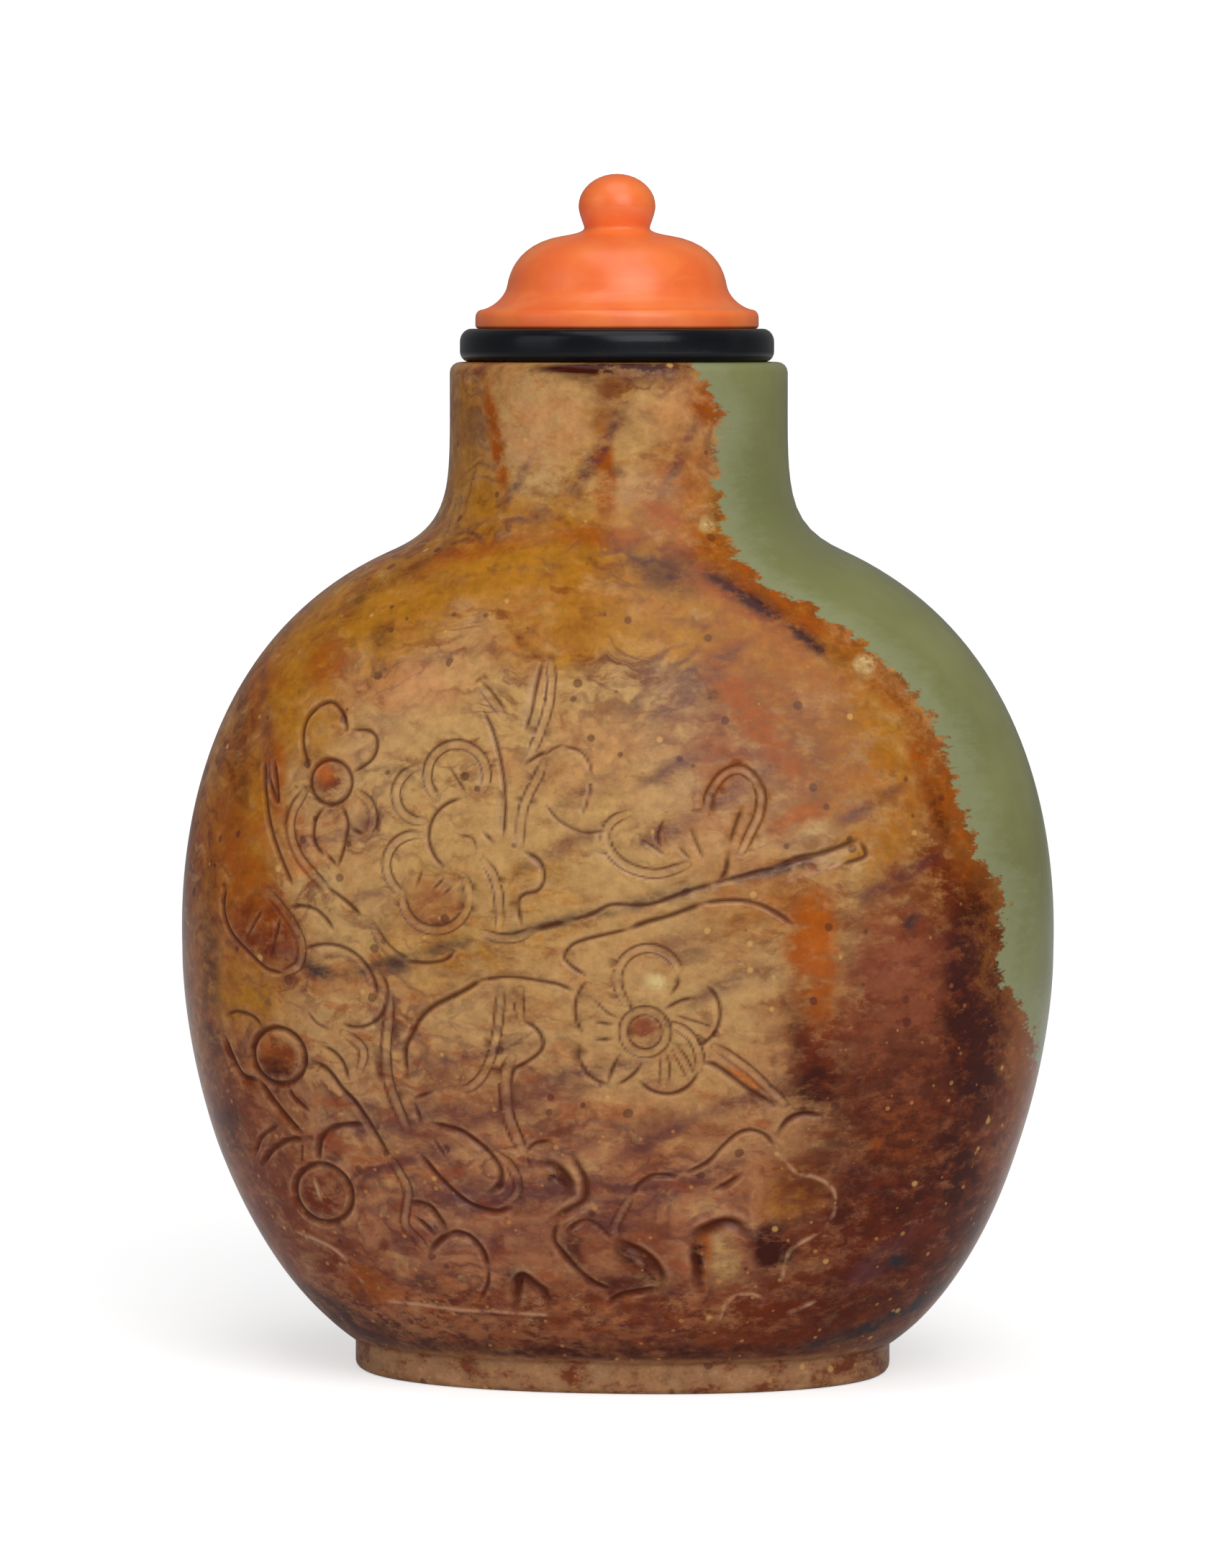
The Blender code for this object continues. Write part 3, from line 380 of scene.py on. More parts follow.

# Clouds of colour in the stone's front, from the lowest layer up. A cloud is (across, up, half width,
# half height, turn, strength), with the place in per cent as above, the half sizes in millimetres and the
# turn in degrees. A turn above zero raises the cloud's right end. The fall says how fast a cloud ends.
# Most clouds are the stone's own colour; the marked sienna cloud is a painted reflection and the marked
# umber lines hold painted shade.
CLOUD_FALL = 0.7
CLOUDS = (
    ("beige", (
        (-2, 50, 9.0, 8.0, 0, 0.6), (8, 38, 6.0, 5.0, 20, 0.5), (-7, 93.5, 3.0, 3.6, 0, 0.95),
        (2, 90, 4.0, 2.6, 0, 0.6), (14, 14.3, 0.9, 1.5, 0, 0.8), (-20, 63, 3.4, 2.6, 20, 0.4),
        (-30, 46, 1.6, 1.2, 30, 0.5),
    )),
    ("gold", (
        (-10, 80, 4.4, 1.5, 12, 0.7), (-22, 76, 3.6, 2.0, 25, 0.7), (4, 76, 5.0, 1.6, 5, 0.6),
        (-34, 68, 2.2, 3.6, 12, 0.7), (-17.5, 92, 1.1, 4.0, 0, 0.5), (-40, 39, 2.0, 1.8, 0, 0.8),
        (-38, 56, 1.4, 3.0, 0, 0.6), (31, 55, 2.4, 2.0, 30, 0.6), (22, 21, 1.8, 1.4, 30, 0.6),
        (6, 85, 2.6, 1.0, -20, 0.5), (28, 63, 3.4, 4.4, 10, 0.7), (-35, 74, 3.0, 2.0, 40, 0.5),
        (19, 70, 4.4, 2.6, -40, 0.7),
    )),
    ("peach", (
        (10, 90, 0.9, 2.8, 0, 0.35), (-19, 69, 2.4, 1.4, 10, 0.4), (0, 63, 2.4, 2.0, 20, 0.3),
        (26, 75, 1.6, 1.0, -40, 0.4), (-7, 94, 2.6, 2.0, 20, 0.5), (9, 95, 1.6, 1.6, 30, 0.5),
    )),
    ("russet", (
        (36, 34, 5.0, 9.0, 0, 0.95), (34, 16, 6.4, 5.0, 20, 0.95), (22, 9, 6.0, 2.6, 10, 0.8),
        (-29, 12, 2.6, 2.0, -30, 0.7), (-37, 17, 2.6, 4.0, 20, 0.6), (-41, 28, 1.8, 3.4, 10, 0.6),
        (38, 51, 1.4, 3.4, 25, 0.7), (-37.5, 45.7, 1.7, 1.9, 10, 0.9), (24, 22, 2.2, 2.0, 20, 0.6),
        (25, 35, 1.8, 3.0, 0, 0.8), (0.6, 96.6, 0.8, 1.6, -24, 0.35), (19, 64, 5.0, 4.0, -40, 0.45),
        (16, 47, 3.0, 3.0, 20, 0.25), (0, 9, 10.0, 1.8, 0, 0.5), (4, 16, 2.4, 1.8, -20, 0.5),
        (-31.2, 19.6, 1.4, 1.4, 0, 0.9), (-36.2, 33, 1.3, 1.3, 0, 0.9), (-29.8, 59.8, 1.0, 1.0, 0, 0.7),
        (-36, 24, 2.0, 3.0, 40, 0.5),
    )),
    ("sienna", (
        # (33, 36.5) paints the reflection band on the right side, over the russet
        (33, 36.5, 2.5, 6.6, 0, 0.85), (-18, 48.2, 1.5, 1.5, 0, 0.5), (5.8, 36.8, 0.9, 0.9, 0, 0.8),
        (-2, 16, 5.0, 1.6, 5, 0.4), (10, 27, 4.0, 1.4, 15, 0.3), (-13, 30, 4.0, 2.0, 10, 0.3),
    )),
    ("rust", (
        (24.0, 44.0, 1.4, 3.6, 4, 0.9), (18, 50, 2.6, 2.2, 30, 0.35), (20, 72, 4.0, 3.0, -40, 0.4),
        (14, 56, 3.0, 2.0, 30, 0.3), (17.5, 66.3, 4.2, 0.9, -52, 0.9), (22.5, 57, 2.0, 0.6, 25, 0.7),
        (17, 78.3, 5.6, 1.5, -33, 0.9), (-12.3, 92.5, 0.4, 3.0, 11, 0.9), (0.4, 89, 0.6, 2.8, 4, 0.8),
        (8, 88, 1.4, 3.0, -20, 0.45), (-41, 52, 2.0, 4.0, 0, 0.5), (11.7, 96, 1.1, 1.2, 0, 0.8),
        (-36.6, 60.7, 0.6, 2.6, 8, 0.7), (37.2, 60, 3.6, 0.9, -67, 0.9), (31, 69.5, 3.2, 0.7, -48, 0.6),
        (-31, 71, 1.3, 1.3, 0, 0.6), (40.6, 53, 2.4, 0.8, -70, 0.8), (-26, 10.5, 1.6, 0.9, -30, 0.6),
        (33, 26, 1.8, 1.6, 0, 0.5), (-36.5, 33.6, 1.2, 1.0, 0, 0.5), (7, 85.5, 1.8, 0.5, -30, 0.7),
        (12, 14.6, 0.4, 1.6, 0, 0.7), (24, 70, 3.0, 2.2, -40, 0.35), (30, 60, 2.4, 3.0, 20, 0.3),
        (14, 62, 1.8, 1.2, -50, 0.5), (-37.5, 47, 1.5, 1.4, 0, 0.5), (-14, 82, 4.0, 0.5, 14, 0.5),
        (0, 83.5, 3.0, 0.6, -4, 0.6),
    )),
    ("amber", (
        (24.4, 46.0, 0.9, 1.8, 0, 0.6), (16.8, 32.2, 1.2, 0.25, -34, 0.7), (22, 57.3, 1.0, 0.3, 25, 0.5),
        (-30.6, 60.8, 0.6, 0.6, 0, 0.6), (-33, 52, 0.8, 0.6, 0, 0.4),
    )),
    ("umber", (
        (16.3, 77.5, 3.0, 0.30, -31, 0.9), (17.5, 76.9, 5.4, 0.60, -33, 0.5),
        (22.6, 73.8, 2.0, 0.26, -38, 0.8), (12.6, 68.5, 0.4, 0.3, 0, 0.9), (41.6, 38, 1.8, 7.2, 0, 0.9),
        (24.4, 31.0, 1.6, 2.0, 0, 0.7), (22.2, 37, 0.6, 2.4, 10, 0.4), (34, 25, 5.4, 7.0, 0, 0.55),
        (34, 12, 7.0, 3.0, 25, 0.5), (34, 20, 4.0, 1.8, 10, 0.6), (40, 14, 2.6, 3.0, 30, 0.6),
        (19.6, 15.2, 1.2, 1.5, 15, 0.9), (39.5, 22, 1.4, 3.2, 10, 0.8), (36, 12, 3.0, 1.6, 30, 0.6),
        # (2, 99.4) under the collar is partly a brown stain on the lip and partly painted shadow of the
        # collar
        (2, 99.4, 4.6, 0.30, 0, 1.0), (1.6, 89.6, 0.4, 0.3, 20, 0.4), (-24, 79.2, 4.4, 0.35, 32, 0.4),
        (-41.4, 62.4, 0.7, 4.0, 4, 0.4), (-44.7, 38, 0.7, 7.0, 0, 0.45), (-36.4, 31.8, 0.9, 0.8, 0, 0.6),
        # (4, 4.4) is a painted shade line where the body meets the foot
        (-30, 6.4, 4.0, 1.0, -22, 0.7), (-4.2, 21.9, 0.6, 0.9, 30, 1.0), (4, 4.4, 14.0, 0.5, 0, 0.6),
        (3, 11.5, 2.0, 0.6, -10, 0.5), (-2.5, 15.6, 0.6, 1.4, 0, 0.6), (5, 13.6, 1.8, 0.5, -40, 0.7),
        (11.3, 14.6, 0.4, 1.4, 0, 0.8), (-43, 25, 1.0, 2.4, 0, 0.5), (37.5, 57.0, 2.0, 0.4, -67, 0.6),
        (29, 19.5, 2.2, 0.7, 30, 0.6), (-24.6, 73.7, 0.7, 0.7, 0, 0.4), (7, 80, 2.0, 1.0, -30, 0.5),
        (-9, 12.2, 0.6, 0.6, 0, 0.7),
    )),
    ("purple", (
        (-0.7, 91, 2.9, 0.42, 59, 0.6), (8.6, 91, 2.4, 0.34, 66, 0.5), (-10, 88, 1.8, 0.3, 60, 0.5),
        (-17, 28, 5.0, 0.8, 8, 0.5), (-11, 20.5, 4.6, 1.0, 5, 0.6), (4, 20, 3.6, 0.9, 22, 0.5),
        (12, 71, 2.6, 0.5, 30, 0.5), (16, 60, 2.4, 0.4, 35, 0.5), (30, 58, 2.4, 0.4, 30, 0.5),
        (-4, 54, 2.6, 0.4, 28, 0.4), (-26, 56, 1.8, 0.4, 30, 0.4), (33, 51, 2.6, 0.4, 28, 0.5),
        (-38, 64, 0.4, 4.0, 10, 0.4), (16, 30, 2.2, 0.4, 20, 0.5), (31, 13.5, 2.2, 0.6, 40, 0.6),
        (9, 68, 2.6, 0.5, 35, 0.5), (9, 62, 2.4, 0.4, 30, 0.5), (0, 60, 2.0, 0.4, 30, 0.4),
        (8, 55.6, 1.6, 0.5, 25, 0.5), (10, 45, 1.4, 0.8, 0, 0.4), (-14, 16, 5.0, 0.8, 0, 0.4),
        (-4, 25, 3.0, 0.5, 26, 0.5), (7, 26.5, 2.6, 0.45, 28, 0.5), (-6, 31, 3.0, 0.5, 24, 0.5),
        (-20, 24, 2.4, 0.4, 20, 0.6), (0, 33, 2.8, 0.3, 10, 0.6), (12, 22.5, 2.6, 0.45, 25, 0.5),
        (-8, 17, 2.6, 0.5, 15, 0.5), (-16, 21.5, 2.2, 0.35, 10, 0.6), (2, 17.5, 1.6, 0.4, 0, 0.6),
        (-12, 34.6, 3.0, 0.3, 12, 0.5), (14, 41, 2.0, 0.35, 25, 0.5),
    )),
    ("ink", (
        (-30.9, 41.8, 1.0, 0.45, -20, 0.7), (-26.4, 41.8, 0.8, 0.35, 0, 0.5),
        (-22.2, 43.0, 1.5, 0.38, 15, 0.6), (-16.2, 44.6, 1.6, 0.35, 14, 0.5),
        (-9, 45.9, 2.2, 0.25, 14, 0.4), (-2, 47.5, 3.0, 0.34, 12, 0.45), (8, 49.7, 3.0, 0.34, 12, 0.45),
        (20, 52.2, 2.4, 0.26, 12, 0.6), (33, 13.3, 0.5, 0.4, 0, 0.9), (31.5, 6.9, 3.0, 0.36, 20, 0.9),
        (26.5, 5.5, 1.8, 0.32, 14, 0.9), (36, 9.0, 1.4, 0.3, 26, 0.7), (34.6, 46.8, 0.35, 0.6, -30, 0.6),
        (0, 2.0, 0.7, 0.25, 0, 0.7), (8.5, 1.6, 1.0, 0.3, 0, 0.8), (12, 1.9, 0.7, 0.25, 0, 0.6),
    )),
    ("cream", (
        (29.2, 71.2, 0.5, 0.45, -30, 0.9), (6.9, 41.6, 0.36, 0.42, 20, 1.0), (11.6, 84.5, 0.4, 0.4, 0, 0.6),
        (24, 56.0, 0.6, 0.3, 0, 0.5),
    )),
)


def stone_colour(red, green, blue):
    """Scene colour from a colour given in steps of 0 to 255"""
    return tuple(((part / 255 + 0.055) / 1.055) ** 2.4 for part in (red, green, blue))


COLOURS = {name: stone_colour(*steps) for name, steps in {
    # clouds in the stone's front
    "beige": (190, 148, 92),
    "gold": (174, 114, 26),
    "peach": (200, 136, 86),
    "russet": (110, 42, 12),
    "sienna": (140, 74, 44),
    "rust": (158, 78, 14),
    "amber": (184, 92, 14),
    "umber": (62, 16, 4),
    "purple": (92, 48, 50),
    "ink": (46, 38, 42),
    "cream": (214, 186, 126),
    # ground of the russet stone
    "blush": (170, 106, 62),
    "warm side": (164, 92, 20),
    "lower part": (164, 100, 72),
    "pale mottling": (206, 162, 104),
    "ember": (156, 70, 28),
    "base grain": (184, 116, 66),
    "foot": (166, 122, 84),
    "foot marks": (190, 142, 104),
    # specks
    "pale speck": (214, 166, 92),
    "golden speck": (196, 136, 72),
    "dark fleck": (72, 28, 26),
    # green stone, its rim, and paler green as a painted reflection along its border
    "green": (134, 135, 87),
    "deeper green": (122, 124, 78),
    "paler green": (148, 152, 118),
    "rim": (132, 74, 24),
    # strokes: brown stain with painted shade in the grooves, and cream with painted highlights on their
    # edges
    "groove_stain_and_shade": (84, 30, 8),
    "worn ridge": (204, 156, 118),
    # coral cap
    "coral": (253, 128, 58),
    "deeper coral": (246, 112, 48),
    "coral band": (255, 146, 84),
    "coral dot": (220, 84, 34),
    # black collar
    "black": (14, 16, 22),
    "brownish black": (26, 24, 26),
    "dust": (80, 80, 84),
    # cork
    "cork": (186, 142, 92),
    "darker cork": (150, 108, 66),
    "pore": (82, 50, 28),
}.items()}


# Outline of the body


def curve(start, end, handles, steps):
    """Points of a curve between two (half size, height) ends, without its last point"""
    corners = [Vector(start)]
    for out, up in handles:
        corners.append(Vector((start[0] + (end[0] - start[0]) * out, start[1] + (end[1] - start[1]) * up)))
    corners.append(Vector(end))
    return [tuple(point) for point in interpolate_bezier(*corners, steps + 1)][:-1]


def outline(ends, handles, steps=80):
    """(half size, height) points along an outline made of curves"""
    points = []
    for start, end, pair in zip(ends, ends[1:], handles):
        points += curve(start, end, pair, steps)
    return np.array(points + [ends[-1]])


def front_outline():
    """The outline that the front view shows, from the foot's top to the neck's straight part"""
    ends = (
        (FOOT_WIDTH / 2 + FOOT_STEP, FOOT_HEIGHT),
        (BODY_WIDTH / 2, BELLY_HEIGHT),
        (SHOULDER_WIDTH / 2, SHOULDER_HEIGHT),
        (NECK_DIAMETER / 2, LIP_HEIGHT - NECK_STRAIGHT),
    )
    return outline(ends, FRONT_HANDLES)


def side_outline():
    """The outline that the side view shows"""
    ends = (
        (FOOT_DEPTH / 2 + FOOT_STEP, FOOT_HEIGHT),
        (BODY_DEPTH / 2, BELLY_HEIGHT),
        (SIDE_SHOULDER_DEPTH / 2, SIDE_SHOULDER_HEIGHT),
        (NECK_DIAMETER / 2, LIP_HEIGHT - NECK_STRAIGHT),
    )
    return outline(ends, SIDE_HANDLES)


def half_size(points, height):
    """Half sizes of an outline at heights"""
    return np.interp(height, points[:, 1], points[:, 0])


def squareness(height):
    """Exponent of the cross-section: a soft rectangle at the belly, a circle at the neck"""
    share = np.clip((height - SQUARE_BELOW) / (SIDE_SHOULDER_HEIGHT - SQUARE_BELOW), 0, 1)
    return BODY_SQUARENESS + (2 - BODY_SQUARENESS) * share * share * (3 - 2 * share)


def rounded(half, start, end, radius, steps=4):
    """(half size, height) points of a round edge"""
    turns = np.radians(np.linspace(0, 90, steps + 1))
    rise = end - start
    return [(half - radius * (1 - math.cos(turn)), start + rise * math.sin(turn)) for turn in turns]


def even_heights(points, count):
    """Heights that divide an outline into even lengths"""
    lengths = np.concatenate(([0], np.cumsum(np.linalg.norm(np.diff(points, axis=0), axis=1))))
    return np.interp(np.linspace(0, lengths[-1], count), lengths, points[:, 1])


def bottle_rows():
    """Rows of (half width, half depth, height) round the wall, and the first and last row of its skin"""
    front, side = front_outline(), side_outline()
    rows = [(0.0, 0.0, FOOT_RECESS)]
    for shrink, height in rounded(0.0, FOOT_RECESS - FOOT_ROUND, FOOT_RECESS, FOOT_ROUND)[::-1]:
        rows.append((FOOT_WIDTH / 2 - FOOT_RIM + shrink, FOOT_DEPTH / 2 - FOOT_RIM + shrink, height))
    rows.append((FOOT_WIDTH / 2 - FOOT_RIM, FOOT_DEPTH / 2 - FOOT_RIM, 0.0))
    for shrink, height in rounded(0.0, FOOT_ROUND, 0.0, FOOT_ROUND)[::-1]:
        rows.append((FOOT_WIDTH / 2 + shrink, FOOT_DEPTH / 2 + shrink, height))
    for height in np.linspace(FOOT_ROUND, FOOT_HEIGHT, FOOT_ROWS)[1:]:
        rows.append((FOOT_WIDTH / 2, FOOT_DEPTH / 2, float(height)))
    skin_start = len(rows)
    for height in even_heights(front, SKIN_ROWS * FINE + 1):
        rows.append((float(half_size(front, height)), float(half_size(side, height)), float(height)))
    skin_end = len(rows) - 1
    neck = NECK_DIAMETER / 2
    rows += [(neck + shrink, neck + shrink, height) for shrink, height in
             rounded(0.0, LIP_HEIGHT - LIP_ROUND, LIP_HEIGHT, LIP_ROUND)]
    bore = BORE_DIAMETER / 2
    rows += [(bore, bore, LIP_HEIGHT), (bore, bore, BORE_BOTTOM_HEIGHT)]
    floor = FOOT_RECESS + FLOOR
    for height in np.linspace(BORE_BOTTOM_HEIGHT - WALL, floor, HOLLOW_ROWS):
        level = max(height - WALL * HOLLOW_DROP, FOOT_HEIGHT)
        closing = np.clip((height - SQUARE_BELOW) / (BORE_BOTTOM_HEIGHT - SQUARE_BELOW), 0, 1)
        wide, deep = half_size(front, level) - WALL, half_size(side, level) - WALL
        rows.append((wide + (bore - wide) * closing, deep + (bore - deep) * closing, float(height)))
    rows.append((0.0, 0.0, floor))
    return np.array(rows), skin_start, skin_end


# Carving


def to_millimetres(across, up):
    """Place on the face in millimetres across and up"""
    return across / 100 * BODY_WIDTH * 1000, up / 100 * LIP_HEIGHT * 1000


def smooth_path(places, steps=6):
    """Millimetre points of a curve through the places"""
    knots = [Vector(to_millimetres(*place)) for place in places]
    knots = [knots[0]] + knots + [knots[-1]]
    path = []
    for before, start, end, after in zip(knots, knots[1:], knots[2:], knots[3:]):
        corners = (start, start + (end - before) / 6, end - (after - start) / 6, end)
        path += interpolate_bezier(*corners, steps + 1)[:-1]
    return np.array([tuple(point) for point in path + [knots[-1]]])


def arc_path(across, up, radius, start, end):
    """Millimetre points of an arc on the face"""
    centre = np.array(to_millimetres(across, up))
    count = max(ARC_POINTS, round(abs(end - start) / ARC_TURN))
    turns = np.radians(np.linspace(start, end, count))
    reach = radius / 100 * LIP_HEIGHT * 1000
    return centre + reach * np.column_stack((np.cos(turns), np.sin(turns)))


def carving():
    """Every stroke as (path, form, width, depth, tapers)"""
    strokes = [(arc_path(across, up, radius, 0, 360), *form, False) for across, up, radius, form in RINGS]
    strokes += [(arc_path(*arc[:5]), *arc[5], True) for arc in ARCS]
    strokes += [(smooth_path(places), *form, True) for form, *places in LINES]
    return strokes


def along_path(points, path):
    """Each point's distance to a path, and how far along the path it lies, in millimetres"""
    lengths = np.concatenate(([0], np.cumsum(np.linalg.norm(np.diff(path, axis=0), axis=1))))
    nearest = np.full(len(points), np.inf)
    travel = np.zeros(len(points))
    for start, end, before in zip(path, path[1:], lengths):
        run = end - start
        length = max(float(np.hypot(*run)), 1e-9)
        share = np.clip((points - start) @ run / length ** 2, 0, 1)
        away = np.hypot(*(points - start - share[:, None] * run).T)
        closer = away < nearest
        nearest[closer] = away[closer]
        travel[closer] = before + share[closer] * length
    return nearest, travel, lengths[-1]


def stroke_profile(form, share):
    """Sink, darkness and paleness across a stroke, where share is 0 at its middle and 1 at its edge. The
    darkness is brown stain with painted shade; the paleness is a painted highlight just outside each cut
    and along ridges, where ridges also take cream, and a paler middle in twin bands
    """
    wall = np.clip(1 - share, 0, 1)
    if form == "twin":
        sink = np.clip((1.0 - share) / 0.40, 0, 1)
        dark = np.exp(-((share - 0.80) / 0.20) ** 2)
        return sink, dark, 0.40 * np.exp(-(share / 0.45) ** 2)
    sink = wall
    dark = np.exp(-(share / 0.58) ** 2)
    if form == "ridge":
        return -0.6 * sink, 0 * share, dark
    # Painted highlight just outside the cut's edge
    return sink, dark, 0.5 * np.exp(-((share - 1.25) / 0.28) ** 2)


def carve(points):
    """Sink in metres, darkness and paleness at millimetre points of the front face"""
    sink = np.zeros(len(points))
    rise = np.zeros(len(points))
    dark = np.zeros(len(points))
    pale = np.zeros(len(points))
    for path, form, width, depth, tapers in carving():
        low, high = path.min(axis=0) - width, path.max(axis=0) + width
        near = np.flatnonzero(np.all((points > low) & (points < high), axis=1))
        if not len(near):
            continue
        away, travel, length = along_path(points[near], path)
        end = np.minimum(travel, length - travel) if tapers else np.full(len(near), width * 2)
        taper = np.clip(TIP_DEPTH + end / (width * TIP_LENGTH), 0, 1)
        reach = width / 2 * (TIP_WIDTH + (1 - TIP_WIDTH) * taper)
        deep, black, light = stroke_profile(form, away / reach)
        sink[near] = np.maximum(sink[near], deep * depth * taper)
        rise[near] = np.maximum(rise[near], -deep * depth * taper)
        # The deeper the stroke, the darker: brown stain with painted shade in the groove
        weight = min(FAINT_STAIN_AND_SHADE + STAIN_AND_SHADE_BY_DEPTH * depth, 1.0)
        dark[near] = np.maximum(dark[near], black * weight * taper)
        pale[near] = np.maximum(pale[near], light * taper)
    return (sink - rise) / 1000, np.clip(dark, 0, 1), pale


def cloud_field(points, spots):
    """How strongly clouds of one colour cover millimetre points of the front face"""
    field = np.zeros(len(points))
    for across, up, half_width, half_height, turn, strength in spots:
        away = points - np.array(to_millimetres(across, up))
        lean = math.radians(turn)
        along = away @ (math.cos(lean), math.sin(lean)) / half_width
        over = away @ (-math.sin(lean), math.cos(lean)) / half_height
        field = np.maximum(field, strength * np.exp(-CLOUD_FALL * (along * along + over * over) ** 2))
    return field


def near_carving(points, reach):
    """Which millimetre points lie within reach of a stroke"""
    found = np.zeros(len(points), bool)
    for path, _, width, _, _ in carving():
        low, high = path.min(axis=0) - width - reach, path.max(axis=0) + width + reach
        near = np.flatnonzero(np.all((points > low) & (points < high), axis=1) & ~found)
        if len(near):
            found[near] = along_path(points[near], path)[0] < width / 2 + reach
    return found


# Meshes


def spun_mesh(profile, columns):
    """Mesh of a profile of (radius, height) points turned once round the upright axis"""
    mesh = bmesh.new()
    column = [mesh.verts.new((radius, 0, height)) for radius, height in profile]
    edges = [mesh.edges.new(pair) for pair in zip(column, column[1:])]
    bmesh.ops.spin(mesh, geom=column + edges, cent=(0, 0, 0), axis=(0, 0, 1), angle=math.tau, steps=columns,
                   use_merge=True, use_duplicate=False)
    bmesh.ops.remove_doubles(mesh, verts=mesh.verts, dist=1e-7)
    bmesh.ops.recalc_face_normals(mesh, faces=mesh.faces)
    return mesh


def finished(name, mesh, node, look):
    """Object at the origin from a bmesh, which rides the bottle and stands for its CAD node"""
    for face in mesh.faces:
        face.smooth = True
    data = bpy.data.meshes.new(name)
    mesh.to_mesh(data)
    mesh.free()
    piece = bpy.data.objects.new(name, data)
    bpy.context.scene.collection.objects.link(piece)
    data.materials.append(look)
    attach(piece, "root")
    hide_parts(node)
    return piece


def places_on_wall(points, rows):
    """Places in metres of points on a unit cylinder, whose height is a row number of the wall"""
    turn = np.arctan2(points[:, 1], points[:, 0])
    number = np.arange(len(rows))
    wide, deep, height = (np.interp(points[:, 2], number, rows[:, part]) for part in range(3))
    power = 2 / squareness(height)
    across, along = np.cos(turn), np.sin(turn)
    x = wide * np.sign(across) * np.abs(across) ** power
    y = deep * np.sign(along) * np.abs(along) ** power
    heights, shifts = zip(*LEAN)
    return np.column_stack((x + np.interp(height, heights, shifts), y, height))


def refine(mesh, rows, cuts, reach=None):
    """Divides the front faces, or only those that lie within reach of a stroke"""
    centres = np.array([face.calc_center_median() for face in mesh.faces])
    places = places_on_wall(centres, rows)
    chosen = places[:, 1] < 0
    if reach is not None:
        chosen &= near_carving(places[:, (0, 2)] * 1000, reach)
    edges = {edge for face, near in zip(mesh.faces, chosen) if near for edge in face.edges}
    bmesh.ops.subdivide_edges(mesh, edges=list(edges), cuts=cuts, use_grid_fill=True)


def carved_wall():
    """Mesh of the bottle's wall on a unit cylinder, fine near the strokes, and its rows"""
    rows, skin_start, skin_end = bottle_rows()
    skin = range(skin_start, skin_end + 1, FINE)
    kept = [*range(skin_start), *skin, *range(skin_end + 1, len(rows))]
    mesh = bmesh.new()
    column = [mesh.verts.new((1, 0, row)) for row in kept]
    edges = [mesh.edges.new(pair) for pair in zip(column, column[1:])]
    bmesh.ops.spin(mesh, geom=column + edges, cent=(0, 0, 0), axis=(0, 0, 1), angle=math.tau, steps=COLUMNS,
                   use_merge=True, use_duplicate=False)
    for row in (kept[0], kept[-1]):
        ring = [vert for vert in mesh.verts if abs(vert.co.z - row) < 0.5]
        bmesh.ops.pointmerge(mesh, verts=ring, merge_co=(0, 0, row))
    refine(mesh, rows, 1)
    refine(mesh, rows, STROKE_CELLS, NEAR_STROKE)
    bmesh.ops.recalc_face_normals(mesh, faces=mesh.faces)
    return mesh, rows


def carve_bottle(piece, rows):
    """Sets the wall's vertices in their real places and cuts the strokes into the front"""
    data = piece.data
    count = len(data.vertices)
    points = np.empty(count * 3)
    data.vertices.foreach_get("co", points)
    places = places_on_wall(points.reshape(-1, 3), rows)
    data.vertices.foreach_set("co", places.ravel())
    data.update()
    normals = np.empty(count * 3)
    data.vertex_normals.foreach_get("vector", normals)
    normals = normals.reshape(-1, 3)
    front = (places[:, 1] < 0) & (normals[:, 1] < 0)
    dark, pale = np.zeros(count), np.zeros(count)
    sink, dark[front], pale[front] = carve(places[front][:, (0, 2)] * 1000)
    places[front] -= normals[front] * sink[:, None]
    data.vertices.foreach_set("co", places.ravel())
    # stroke holds the grooves' brown stain and painted shade, ridge the cream and painted highlights on
    # their edges
    fields = {"stroke": dark, "ridge": pale}
    for name, spots in CLOUDS:
        fields[name] = np.zeros(count)
        fields[name][front] = cloud_field(places[front][:, (0, 2)] * 1000, spots)
    for name, values in fields.items():
        data.attributes.new(name, "FLOAT", "POINT").data.foreach_set("value", values)
    data.update()


# Shader helpers


def link_or_set(tree, socket, value):
    """Links an output to a socket, or gives the socket a plain value or colour"""
    if isinstance(value, bpy.types.NodeSocket):
        tree.links.new(value, socket)
    elif socket.type == "RGBA" and len(value) == 3:
        socket.default_value = (*value, 1.0)
    else:
        socket.default_value = value


def add_node(tree, kind, inputs=None, **settings):
    """New node with its settings, and with values or links on its inputs"""
    node = tree.nodes.new(kind)
    for name, value in settings.items():
        setattr(node, name, value)
    for name, value in (inputs or {}).items():
        link_or_set(tree, node.inputs[name], value)
    return node


def maths(tree, operation, first, second=0.0, third=0.0, clamp=False):
    """Output of a Math node"""
    inputs = {0: first, 1: second, 2: third}
    return add_node(tree, "ShaderNodeMath", inputs, operation=operation, use_clamp=clamp).outputs[0]


def times(tree, first, second, clamp=False):
    """Product of two values"""
    return maths(tree, "MULTIPLY", first, second, clamp=clamp)


def vector_maths(tree, operation, first, second):
    """Output of a Vector Math node"""
    return add_node(tree, "ShaderNodeVectorMath", {0: first, 1: second}, operation=operation).outputs[0]


def separate(tree, vector):
    """The three parts of a vector"""
    return add_node(tree, "ShaderNodeSeparateXYZ", {0: vector}).outputs


